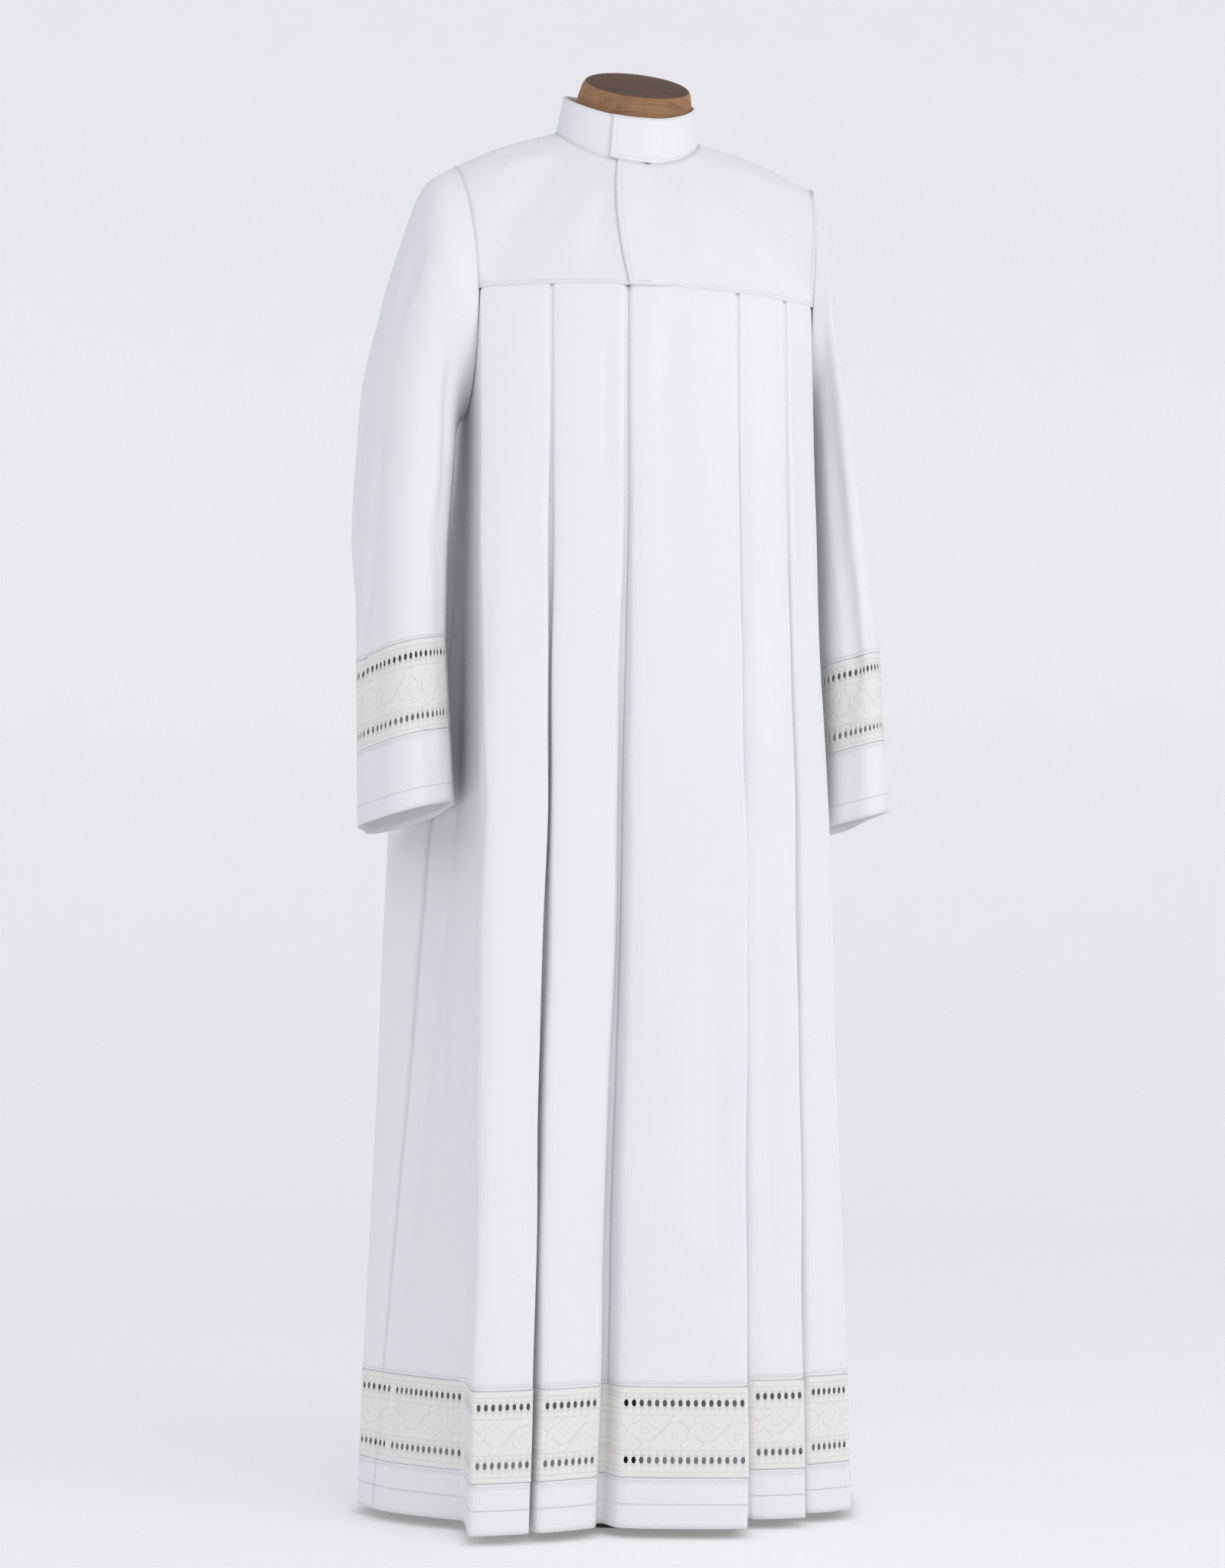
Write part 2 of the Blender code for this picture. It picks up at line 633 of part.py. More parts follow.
def build_collar(surface):
    """Stand collar, its left end lapped over its right one."""
    start = neck_angle(OPENING_X - COLLAR_STEP)
    end = 360 + neck_angle(OPENING_X + UNDERLAP)
    heights = ((NECK_Z[0] + 2 * SEAM, NECK_Z[1] + 2 * SEAM, NECK_Z[2]), COLLAR_Z)
    outer, inner = [], []
    for level in (0.0, 0.5, 1.0):
        lean = COLLAR_LEAN * level
        ring_z = [a + (b - a) * level for a, b in zip(*heights)]
        outer_row, inner_row = [], []
        for j in range(COLLAR_SPANS + 1):
            angle = start + (end - start) * j / COLLAR_SPANS
            lift = (COLLAR_CLOTH + REST) * max(0.0, 1 - max(0.0, angle - LAP_ANGLE) / LAP_EASE)
            rise = Vector((-NECK_X * level / 2, 0.0, lift * (1 - level)))
            for row, less in ((outer_row, 0.0), (inner_row, COLLAR_CLOTH)):
                grow = lift - lean - less
                row.append(rise + neck_point(angle, NECK_HALF_WIDTH + grow, NECK_FRONT + grow,
                                             NECK_BACK + grow, ring_z))
        outer.append(outer_row)
        inner.append(inner_row)
    wall("collar", outer, inner, surface)


def fold_in(angle, share):
    """How far a sleeve's wall is drawn in by its folds, at this angle round it."""
    depth = 0.0
    for centre, deep, wide in SLEEVE_FOLDS:
        away = abs((angle - centre + 180) % 360 - 180) / wide
        if away < 1:
            depth += deep * MM * (math.cos(math.pi * away) + 1) / 2
    return depth * share


def wall_ring(points, centre):
    """A closed ring of points and the same ring drawn in by the cloth's thickness."""
    inside = []
    count = len(points)
    across = points[0] - points[count // 2]
    along = points[count // 4] - points[3 * count // 4]
    axis = along.cross(across)
    for i, point in enumerate(points):
        tangent = points[(i + 1) % count] - points[i - 1]
        normal = tangent.cross(axis).normalized()
        if normal.dot(centre - point) < 0:
            normal.negate()
        inside.append(point + normal * CLOTH)
    return points, inside


def sleeve_ring(side, inner_end, outer_end, half_depth, share, angles):
    """Points of one ring of a sleeve; share is how far down the sleeve it lies."""
    middle = (inner_end + outer_end) / 2
    reach = (outer_end - inner_end) / 2
    across = reach.normalized()
    ring = []
    for angle in angles:
        turn = math.radians(angle)
        drawn = fold_in(angle, share)
        spot = middle + across * (reach.length - drawn) * math.sin(turn)
        spot.y += (half_depth - drawn) * math.cos(turn) + SLEEVE_Y * min(1.0, share * 2)
        ring.append(Vector((side * spot.x, spot.y, spot.z)))
    return ring


def armhole_ring(side, angles):
    """First ring of a sleeve, on the armhole and one seam outside the panels."""
    outer, inner = [], []
    for angle in angles:
        turn = math.radians(angle)
        y = ARM_CENTRE_Y + ARM_HALF_DEPTH * math.cos(turn)
        z = ARM_CENTRE_Z + ARM_HALF_HEIGHT * math.sin(turn)
        x = side * (armhole_x(y, z) + 2 * SEAM)
        inwards = Vector((0.0, ARM_CENTRE_Y - y, ARM_CENTRE_Z - z)).normalized()
        outer.append(Vector((x, y, z)))
        inner.append(Vector((x, y, z)) + inwards * CLOTH)
    return outer, inner


def level_ring(side, z, angles):
    """Ring of the lace or the cuff at mean height z, tilted like the sleeve's end."""
    inner_top, outer_top, inner_low, outer_low = SLEEVE_ENDS["left" if side > 0 else "right"]
    drop = (SLEEVE_LACE_Z[1] - z) / (SLEEVE_LACE_Z[1] - CUFF_Z)
    inner_x = inner_top + (inner_low - inner_top) * drop
    outer_x = outer_top + (outer_low - outer_top) * drop
    ends = [Vector((x * MM, 0.0, z)) for x in (inner_x, outer_x)]
    ring = sleeve_ring(side, ends[0], ends[1], SLEEVE_HALF_DEPTH, 1.0, angles)
    middle_x = side * (ends[0].x + ends[1].x) / 2
    for point in ring:
        point.z += SLEEVE_TILT * (point.x - middle_x)
    return ring, Vector((middle_x, SLEEVE_Y, z))


def open_ring(side, z, angles):
    """Level ring at any angles, with the thickness of the whole smooth ring."""
    outer, inner = [], []
    for angle in angles:
        (before, point, after), centre = level_ring(side, z, [angle - 1.0, angle, angle + 1.0])
        tangent = after - before
        normal = Vector((-tangent.y, tangent.x, 0.0)).normalized()
        if normal.dot(centre - point) < 0:
            normal.negate()
        outer.append(point)
        inner.append(point + normal * CLOTH)
    return outer, inner


def build_sleeve(side, cloth_surface, lace_surface):
    label = "left" if side > 0 else "right"
    even = [360 * j / SLEEVE_SIDES for j in range(SLEEVE_SIDES)]
    rings = [armhole_ring(side, even)]
    table = SLEEVE_RINGS[label]
    for index, (ix, iz, ox, oz, deep) in enumerate(table):
        inner_end = Vector((ix * MM, 0.0, iz * MM))
        outer_end = Vector((ox * MM, 0.0, oz * MM))
        share = ((index + 1) / (len(table) + 1)) ** FOLD_GROWTH
        ring = sleeve_ring(side, inner_end, outer_end, deep * MM, share, even)
        middle = (inner_end + outer_end) / 2
        rings.append(wall_ring(ring, Vector((side * middle.x, SLEEVE_Y, middle.z))))
    rings.append(open_ring(side, SLEEVE_LACE_Z[1] + SEAM / 2, even))
    rings.reverse()
    wall("sleeve_" + label, [r[0] for r in rings], [r[1] for r in rings], cloth_surface, closed=True)

    reach = (SLEEVE_ENDS[label][1] - SLEEVE_ENDS[label][0]) / 2 * MM
    around = math.pi * (SLEEVE_HALF_DEPTH + reach)
    count = 2 * (int(around / CUFF_HOLE_PITCH) // 2)
    half = 180 * HOLE_WIDTH / around
    trim = math.degrees(SEAM / 2 / SLEEVE_HALF_DEPTH)
    for part, start in (("front", 90), ("back", 270)):
        angles = [start + trim]
        for k in range(count // 2):
            centre = start + 360 * (k + 0.5) / count
            angles += [centre - half, centre + half]
        angles.append(start + 180 - trim)
        levels = lace_levels(SLEEVE_LACE_Z, SLEEVE_HOLE_ROWS)
        rings = [open_ring(side, z, angles) for z in levels]
        holes = [(row, 1 + 2 * k) for row in HOLE_CELLS for k in range(count // 2)]
        name = "sleeve_lace_" + label + "_" + part
        wall(name, [r[0] for r in rings], [r[1] for r in rings], lace_surface, holes=holes)

    rings = [open_ring(side, z, even) for z in (CUFF_Z, SLEEVE_LACE_Z[0] - SEAM / 2)]
    wall("cuff_" + label, [r[0] for r in rings], [r[1] for r in rings], cloth_surface, closed=True)


def torso_angle(q):
    """Angle round the torso at station q, measured from the front."""
    if q > 4:
        return 360 - torso_angle(8 - q)
    if q <= 1:
        return TORSO_FRONT_TURN * q
    if q <= 3:
        return TORSO_FRONT_TURN + TORSO_ARM_TURN * (q - 1)
    return 180 - TORSO_FRONT_TURN * (4 - q)


def build_torso(surface):
    """Limbless form: it carries the yoke and stays clear of the skirt."""
    left, back, right = yoke_stations()
    stations = left + back[1:] + right[1:-3]
    rings = []
    for z, half_width, front, behind in TORSO_RINGS:
        ring = []
        for station in stations:
            turn = math.radians(torso_angle(at_share(station, 1.0)))
            depth = front if math.cos(turn) > 0 else behind
            x = half_width * MM * math.copysign(abs(math.sin(turn)) ** TORSO_POWER, math.sin(turn))
            y = -depth * MM * math.copysign(abs(math.cos(turn)) ** TORSO_POWER, math.cos(turn))
            ring.append(Vector((x, y, z * MM)))
        rings.append(ring)
    for share in YOKE_SHARES:
        less = CLOTH + REST + TORSO_EASE * max(0.0, 2 * share - 1) ** 2
        ring = []
        for station in stations:
            q = at_share(station, share)
            ring.append(yoke_point(q, share) - yoke_normal(q, share) * less)
        rings.append(ring)
    angles = [yoke_edge(at_share(station, 0.0))[1] for station in stations]
    rings.append(block_ring(BLOCK_HALF_WIDTH + SEAM, BLOCK_HALF_DEPTH + SEAM, 0.0, angles))
    solid_of_rings("form_torso", rings, surface)


def block_ring(half_width, half_depth, shift, angles):
    """Ring round the neck on the sloping plane through the neckline."""
    ring = []
    middle = (NECK_Z[0] + NECK_Z[1]) / 2
    slope = (NECK_Z[1] - NECK_Z[0]) / (NECK_FRONT + NECK_BACK)
    for angle in angles:
        turn = math.radians(angle)
        y = -half_depth * math.cos(turn)
        ring.append(Vector((half_width * math.sin(turn) + shift, y, middle + slope * y)))
    return ring


def build_block(surface):
    """Neck block, cut off on a slope that falls to the front."""
    angles = [360 * j / BLOCK_SIDES for j in range(BLOCK_SIDES)]
    base = block_ring(BLOCK_HALF_WIDTH, BLOCK_HALF_DEPTH, 0.0, angles)
    rings = []
    for level, narrower, shift in BLOCK_RINGS:
        narrow = block_ring(BLOCK_HALF_WIDTH - narrower * MM, BLOCK_HALF_DEPTH - narrower * MM / 3,
                            shift * MM, angles)
        ring = []
        for low, spot in zip(base, narrow):
            high = BLOCK_TOP_Z + BLOCK_SLOPE * spot.y
            ring.append(Vector((spot.x, spot.y, low.z + REST + (high - low.z - REST) * level)))
        rings.append(ring)
    solid_of_rings("form_neck_block", rings, surface)


def circle(radius, z, count=32):
    ring = []
    for j in range(count):
        turn = 2 * math.pi * j / count
        ring.append(Vector((radius * math.sin(turn), -radius * math.cos(turn) - NECK_Y, z)))
    return ring


def build_stand(surface):
    foot = [
        circle(FOOT_RADIUS, 0.0),
        circle(FOOT_RADIUS, FOOT_HEIGHT - FOOT_EDGE),
        circle(FOOT_RADIUS - FOOT_EDGE, FOOT_HEIGHT),
    ]
    solid_of_rings("form_foot", foot, surface)
    pole = [
        circle(POLE_RADIUS, FOOT_HEIGHT + SEAM, 20),
        circle(POLE_RADIUS, TORSO_RINGS[0][0] * MM - SEAM, 20),
    ]
    solid_of_rings("form_pole", pole, surface)


def main():
    clear_scene()
    cloth = material("white cloth", WHITE, 0.85)
    lace = material("white lace", LACE_WHITE, 0.9)
    form = material("brown form", BROWN, 0.55)
    paint = material("stand paint", STAND_BLACK, 0.45)
    build_torso(form)
    build_block(form)
    build_stand(paint)
    build_yoke(cloth)
    build_collar(cloth)
    build_skirt(cloth)
    build_hem(cloth, lace)
    build_sleeve(-1.0, cloth, lace)
    build_sleeve(1.0, cloth, lace)


main()
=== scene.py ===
import math

import bmesh
import bpy
from bpy.props import FloatProperty, FloatVectorProperty, IntProperty, PointerProperty
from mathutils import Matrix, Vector


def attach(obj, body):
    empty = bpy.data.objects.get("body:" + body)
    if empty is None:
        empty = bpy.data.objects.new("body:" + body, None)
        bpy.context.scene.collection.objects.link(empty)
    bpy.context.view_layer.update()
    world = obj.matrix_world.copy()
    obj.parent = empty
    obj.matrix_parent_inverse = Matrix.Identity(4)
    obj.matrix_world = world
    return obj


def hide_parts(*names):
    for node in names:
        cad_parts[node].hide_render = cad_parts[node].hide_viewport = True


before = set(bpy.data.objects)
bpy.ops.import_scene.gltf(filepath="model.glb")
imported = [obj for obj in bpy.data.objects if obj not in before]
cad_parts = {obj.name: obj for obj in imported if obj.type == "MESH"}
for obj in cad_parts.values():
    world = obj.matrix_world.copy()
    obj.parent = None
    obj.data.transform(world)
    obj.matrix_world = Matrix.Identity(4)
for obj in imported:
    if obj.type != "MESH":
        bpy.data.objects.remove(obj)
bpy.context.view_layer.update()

bl_info = {
    "name": "Alb on a dress form",
    "version": (1, 0, 0),
    "blender": (4, 5, 0),
    "location": "View3D > Sidebar > Alb",
    "description": "Makes the cloth, lace, stitching, form and studio of a pleated alb",
    "category": "Object",
}

MM = 0.001

# Spaces between the pieces, as in the solids
SEAM = 0.3 * MM
CLOTH = 1.5 * MM
COLLAR_CLOTH = 2.0 * MM
REST = 0.5 * MM
TUCK_LENGTH = 2.5 * MM
TUCK_DEPTH = 1.3 * MM
DEEP_TUCK = 3.0
SAME_SPOT = 0.01 * MM
FACED_CLOTH = 1.0 * MM

# Topstitching: how far it lies above the cloth, beside the lace and from the turned edges
STITCH_LIFT = 0.1 * MM
STITCH_GAP = 5 * MM
HEM_TURN = 24 * MM
CUFF_TURN = 20 * MM
YOKE_STITCH_SHARE = 0.972

# Heights above the floor
HEM_Z = 10 * MM
HEM_LACE_Z = (60 * MM, 152 * MM)
HEM_HOLE_ROWS = (78 * MM, 135 * MM)
CUFF_Z = 745 * MM
SLEEVE_LACE_Z = (823 * MM, 922 * MM)
SLEEVE_HOLE_ROWS = (840 * MM, 905 * MM)
MID_Z = 740 * MM
FLARE_POWER = 1.5
YOKE_Z = 1307 * MM
ARM_CENTRE_Z = 1325 * MM

# Plan of the yoke and the armholes, from the neck's axis
NECK_Y = -30 * MM
CHEST_Y = -134 * MM
BACK_Y = 124 * MM
ARM_CENTRE_Y = 5 * MM
ARM_HALF_DEPTH = 93 * MM
ARM_HALF_HEIGHT = 140 * MM
ARM_X_LOW = 186 * MM
ARM_X_HIGH = 204 * MM
ARM_X_HOLLOW = 8 * MM
ARM_DIP = math.degrees(math.asin((ARM_CENTRE_Z - YOKE_Z) / ARM_HALF_HEIGHT))
YOKE_RISE = (1 - math.sin(math.radians(ARM_DIP))) / 2
YOKE_HALF_WIDTH = (ARM_X_LOW + (ARM_X_HIGH - ARM_X_LOW) * YOKE_RISE
                   - ARM_X_HOLLOW * math.cos(math.radians(ARM_DIP)) ** 2)

# Neck, collar and closure
NECK_HALF_WIDTH = 80 * MM
NECK_X = -5 * MM
NECK_FRONT = 72 * MM
NECK_BACK = 70 * MM
COLLAR_LEAN = 6 * MM
NECK_Z = (1462 * MM, 1530 * MM, 18 * MM)
COLLAR_Z = (1515 * MM, 1578 * MM, 10 * MM)
OPENING_X = -30 * MM
UNDERLAP = 24 * MM
COLLAR_STEP = 8 * MM

# Neck block
BLOCK_HALF_WIDTH = 68.5 * MM
BLOCK_HALF_DEPTH = 60 * MM
BLOCK_TOP_Z = 1577 * MM
BLOCK_SLOPE = 0.61
BLOCK_RINGS = (
    # share of the height, narrower by mm on each side, shift to the left side in mm
    (0.0, 0.0, 0.0),
    (0.3, 1.0, 0.9),
    (0.55, 2.5, 2.0),
    (0.78, 4.6, 4.2),
    (0.92, 7.0, 6.0),
    (1.0, 10.0, 7.0),
)

# Flat faces of the folds, from the front opening round by the left side
FOLDS = (
    # name, hem ax, ay, bx, by, middle ax, ay, bx, by, edge, top a, b, groove depths
    ("front left centre", -46, -142, 84, -176, -29, -142, 92, -160, "front", -27, 90, (8, 8, 3)),
    ("front left", 103, -121, 162, -121, 100, -119, 158, -112, "front", 94, 148, (14, 12, 3)),
    ("front left edge", 171, -96, 222, -78, 164, -100, 203, -86, "front", 152, 184, (0, 0, 0)),
    ("left side", 236, -26, 251, 34, 183, -40, 180, 30, "left", -79, -4, (0, 0, 0)),
    ("back left edge", 262, 76, 248, 140, 222, 96, 214, 132, "left", 30, 88, (34, 24, 2)),
    ("back left", 238, 176, 178, 226, 203, 146, 150, 184, "back", 178, 126, (42, 28, 3)),
    ("back left centre", 162, 232, 70, 255, 140, 190, 62, 206, "back", 120, 52, (48, 30, 3)),
    ("back centre", 54, 250, -60, 253, 48, 201, -50, 203, "back", 47, -46, (48, 30, 3)),
    ("back right centre", -78, 258, -168, 233, -66, 207, -142, 190, "back", -51, -118, (42, 28, 3)),
    ("back right", -184, 226, -243, 176, -154, 184, -208, 150, "back", -122, -178, (34, 24, 3)),
    ("back right edge", -258, 150, -287, 74, -228, 142, -257, 106, "right", 88, 40, (0, 0, 0)),
    ("right side", -268, 16, -192, -64, -186, 50, -180, -62, "right", 4, -79, (0, 0, 0)),
    ("front right edge", -199, -162, -135, -158, -184, -140, -118, -142, "front", -184, -114, (40, 28, 3)),
    ("front right centre", -130, -158, -66, -137, -113, -142, -45, -136, "front", -110, -35, (28, 20, 5)),
)
LEFT_SEAM_AFTER = "left side"
RIGHT_SEAM_AFTER = "back right edge"
CENTRE_SEAM_AFTER = "front right centre"
FOLD_ROUNDING = 3 * MM
GROOVE_WIDTH = (4.5 * MM, 4.0 * MM, 3.0 * MM)
FACE_SWELL = 0.03

# The edges of the folds wander sideways a little down the skirt
WAVE = 1.1 * MM
WAVE_LENGTHS = (0.47, 0.21)
# Width of the groove beside the front opening, in millimetres, at heights in millimetres
CENTRE_GROOVE = (
    (10, 6.5), (420, 6.0), (600, 2.4), (655, 1.6), (730, 3.0), (910, 5.6), (1050, 3.4), (1307, 2.4),
)

# Sleeve rings below the armhole, in millimetres
SLEEVE_RINGS = {
    "right": (
        # inner x, inner z, outer x, outer z, half depth
        (191, 1182, 237, 1438, 96),
        (196, 1172, 261, 1372, 99),
        (199, 1155, 281, 1300, 101),
        (200, 1125, 295, 1221, 101),
        (203, 1080, 302, 1132, 100),
        (206, 1020, 305, 1044, 98),
    ),
    "left": (
        # inner x, inner z, outer x, outer z, half depth
        (191, 1182, 208, 1428, 95),
        (193, 1172, 216, 1366, 97),
        (195, 1155, 225, 1295, 99),
        (196, 1125, 235, 1218, 100),
        (197, 1080, 247, 1132, 99),
        (198, 1020, 260, 1044, 97),
    ),
}
SLEEVE_ENDS = {"right": (207, 304, 197, 301), "left": (199, 276, 199, 285)}
SLEEVE_HALF_DEPTH = 95 * MM
SLEEVE_X = 250 * MM
SLEEVE_Y = -8 * MM
CUFF_BACK_DROP = 8 * MM
SLEEVE_TILT = 0.25
SLEEVE_FOLDS = (
    # angle, depth mm, half width in degrees
    (205, 5.0, 26),
    (250, 4.0, 20),
    (330, 5.0, 24),
    (60, 5.0, 26),
    (130, 4.0, 24),
)

# Soft creases, each a trough (or a ridge where the depth is negative) along a straight
# line from a to b, in millimetres from the neck's axis and the floor
CREASES = {
    "skirt": (
        # ax, ay, az, bx, by, bz, depth mm, half width mm
        (-52, -131, 1300, -52, -134, 1010, 2.4, 9),
        (18, -133, 1300, 9, -136, 1170, 2.7, 26),
        (12, -136, 1240, 22, -146, 860, 1.8, 34),
        (-163, -130, 1290, -172, -136, 760, -2.7, 26),
        (-170, -136, 800, -180, -156, 240, -2.1, 24),
        (-131, -146, 640, -139, -154, 200, 2.1, 20),
        (52, -152, 700, 53, -166, 200, 2.1, 30),
        (110, -120, 1290, 112, -119, 700, -2.1, 16),
        (122, -119, 760, 125, -121, 160, 2.4, 16),
        (166, -97, 1250, 175, -95, 900, 2.4, 14),
        (167, -97, 640, 174, -95, 160, -2.7, 15),
        (-238, 62, 680, -262, 22, 190, -3.3, 20),
        (-214, 10, 700, -222, -26, 200, 2.7, 22),
        (-270, 118, 700, -280, 96, 200, 3.0, 18),
        (11, -157, 290, 49, -165, 262, 2.1, 15),
        (196, 60, 700, 258, 58, 200, 3.0, 20),
        (184, 0, 700, 244, 4, 200, -3.0, 20),
        (200, 160, 640, 214, 196, 180, 3.0, 18),
        (104, 200, 900, 112, 243, 200, 3.0, 22),
        (10, 170, 1180, -6, 226, 420, 3.0, 26),
        (-30, 206, 700, -20, 250, 180, -2.7, 18),
        (-104, 200, 900, -118, 244, 200, 2.7, 22),
        (-178, 168, 700, -212, 198, 180, 3.0, 18),
    ),
    "yoke": (
        # ax, ay, az, bx, by, bz, depth mm, half width mm
        (46, -80, 1460, 52, -128, 1318, -2.2, 24),
        (8, -78, 1462, 8, -130, 1318, 0.6, 20),
        (74, -74, 1450, 146, -94, 1350, -2.0, 24),
        (-196, -70, 1345, -150, -98, 1352, 0.7, 14),
        (-190, -62, 1370, -130, -96, 1376, -1.6, 16),
        (-44, -74, 1450, -100, -112, 1340, -1.8, 26),
        (166, -76, 1397, 171, -92, 1312, 0.7, 14),
        (150, -80, 1420, 156, -98, 1312, -1.6, 14),
        (-90, -52, 1486, -170, -50, 1440, -1.8, 20),
        (96, -48, 1486, 172, -50, 1436, -1.6, 20),
        (60, 92, 1480, 90, 122, 1330, -2.2, 26),
        (-50, 92, 1480, -70, 124, 1330, -2.0, 28),
        (0, 96, 1490, 6, 132, 1320, 0.6, 30),
    ),
    "right sleeve": (
        # ax, ay, az, bx, by, bz, depth mm, half width mm
        (-244, -71, 1375, -291, -64, 1004, 5.4, 20),
        (-291, -64, 1040, -304, -26, 860, 3.6, 16),
        (-238, -84, 1360, -239, -100, 1000, -4.7, 18),
        (-239, -97, 1060, -224, -90, 770, -2.9, 18),
        (-216, -90, 1260, -214, -92, 960, 3.6, 14),
        (-284, -10, 1300, -306, 10, 960, -4.0, 20),
        (-262, 60, 1320, -290, 66, 960, 5.4, 22),
        (-222, 92, 1260, -232, 92, 900, 4.3, 20),
        (-210, -60, 1215, -262, -70, 1190, 2.9, 12),
        (-212, -70, 1120, -258, -86, 1070, 2.5, 14),
    ),
    "left sleeve": (
        # ax, ay, az, bx, by, bz, depth mm, half width mm
        (206, -84, 1330, 216, -92, 1000, 4.3, 18),
        (216, -93, 1052, 232, -100, 860, 3.2, 16),
        (222, -60, 1310, 252, -60, 960, -3.6, 18),
        (230, 10, 1300, 268, 14, 960, 4.0, 22),
        (216, 80, 1280, 236, 88, 900, 4.3, 20),
        (203, -66, 1210, 236, -80, 1180, 2.5, 12),
    ),
}

# Yoke: curve of its seam, degrees at the neck per station, along the chest and round the
# armhole, and how far it bulges out at the front, the back and the shoulder
SEAM_CURVE = 2.2
STATION_TURN = 50
ARM_TURN = 40
FRONT_BULGE = (4, 9)
BACK_BULGE = (14, -2)
SHOULDER_BULGE = 5
SHOULDER_TO_BACK = 7
SHOULDER_TO_FRONT = 8

# Collar: degrees where its lap starts and over which it comes down
LAP_ANGLE = 5
LAP_EASE = 12

# Folds: how the sideways wave starts below the yoke and runs on, the share of a groove's
# side that its rounding may take, the corners of a step with no groove, a crease's ends
WAVE_START = 0.25
WAVE_STEP = 2.4
WAVE_MIX = 1.7
MOST_ROUNDING = 0.4
STEP_CORNERS = (0.33, 0.67)
CREASE_END = 0.3

# Faces along and across the pieces, and passes that soften the yoke
YOKE_PARTS = 4
YOKE_LINES = 26
YOKE_PASSES = 16
COLLAR_COLUMNS = 150
COLLAR_LINES = 12
SLEEVE_COLUMNS = 120
SLEEVE_PARTS = 11
CUFF_LINES = 12
BAND_LINES = 8
BLOCK_COLUMNS = 96

# Stage, in metres, and the torso's two colours
LAMP_DISTANCE = 4.6
FLOOR_REACH = 9.0
FLOOR_CURVE = 3.0
TORSO_LIGHT = (0.46, 0.36, 0.25)
TORSO_DARK = (0.34, 0.26, 0.18)


class ClothSettings(bpy.types.PropertyGroup):
    """Sizes and colours of the cloth."""

    colour: FloatVectorProperty(
        name="Cloth", description="Colour of the white cloth", subtype="COLOR",
        size=3, min=0.0, max=1.0, default=(0.925, 0.935, 0.95))
    # the shade colour is also the base of the painted shade on the pressed seam lines
    shade: FloatVectorProperty(
        name="Cloth shade", description="Colour of its slightly darker patches", subtype="COLOR",
        size=3, min=0.0, max=1.0, default=(0.865, 0.875, 0.925))
    thickness: FloatProperty(
        name="Thickness", description="Thickness of the cloth", unit="LENGTH",
        min=0.0002, max=0.0015, precision=4, default=0.0007)
    weave: FloatProperty(
        name="Weave", description="Distance between two threads", unit="LENGTH",
        min=0.0003, max=0.003, precision=5, default=0.0006)
    column: FloatProperty(
        name="Column", description="Width of one face of the mesh along the hem", unit="LENGTH",
        min=0.004, max=0.03, precision=4, default=0.007)
    rows: IntProperty(
        name="Rows", description="Rows of faces down the skirt", min=10, max=200, default=84)
    crease: FloatProperty(
        name="Creases", description="Strength of the soft creases", min=0.0, max=3.0, default=1.6)


class LaceSettings(bpy.types.PropertyGroup):
    """Sizes and colours of the lace."""

    colour: FloatVectorProperty(
        name="Lace", description="Colour of the raised threads", subtype="COLOR",
        size=3, min=0.0, max=1.0, default=(0.93, 0.92, 0.90))
    # the ground colour is also the base of the painted shade on the seams at the band's edges
    ground: FloatVectorProperty(
        name="Ground", description="Colour of the net behind the motif", subtype="COLOR",
        size=3, min=0.0, max=1.0, default=(0.84, 0.825, 0.795))
    pitch: FloatProperty(
        name="Pitch", description="Distance between two holes", unit="LENGTH",
        min=0.006, max=0.02, precision=4, default=0.0082)
    hole_width: FloatProperty(
        name="Hole width", description="Width of a hole", unit="LENGTH",
        min=0.002, max=0.007, precision=4, default=0.0052)
    hole_height: FloatProperty(
        name="Hole height", description="Height of a hole", unit="LENGTH",
        min=0.003, max=0.01, precision=4, default=0.0080)
    motif: FloatProperty(
        name="Motif", description="Length of one repeat of the leaf scroll", unit="LENGTH",
        min=0.03, max=0.12, precision=4, default=0.0656)


class StitchSettings(bpy.types.PropertyGroup):
    """Sizes and colour of the sewing."""

    colour: FloatVectorProperty(
        name="Thread", description="Colour of the sewing thread", subtype="COLOR",
        size=3, min=0.0, max=1.0, default=(0.87, 0.88, 0.90))
    pitch: FloatProperty(
        name="Stitch pitch", description="Distance from stitch to stitch", unit="LENGTH",
        min=0.002, max=0.008, precision=4, default=0.0036)
    length: FloatProperty(
        name="Stitch length", description="Length of one stitch", unit="LENGTH",
        min=0.001, max=0.006, precision=4, default=0.0026)
    width: FloatProperty(
        name="Stitch width", description="Width of one stitch", unit="LENGTH",
        min=0.0002, max=0.001, precision=5, default=0.0005)


class FormSettings(bpy.types.PropertyGroup):
    """Colours of the dress form and its stand."""

    wood: FloatVectorProperty(
        name="Block", description="Colour of the neck block", subtype="COLOR",
        size=3, min=0.0, max=1.0, default=(0.420, 0.226, 0.110))
    grain: FloatVectorProperty(
        name="Grain", description="Colour of its darker grain", subtype="COLOR",
        size=3, min=0.0, max=1.0, default=(0.210, 0.115, 0.062))
    # painted shade: the block's top is a much darker copy of the wood, standing in for the shade on the
    # top face
    top: FloatVectorProperty(
        name="Block top", description="Colour of the block's top", subtype="COLOR",
        size=3, min=0.0, max=1.0, default=(0.080, 0.052, 0.040))
    paint: FloatVectorProperty(
        name="Stand", description="Colour of the stand's paint", subtype="COLOR",
        size=3, min=0.0, max=1.0, default=(0.035, 0.035, 0.037))


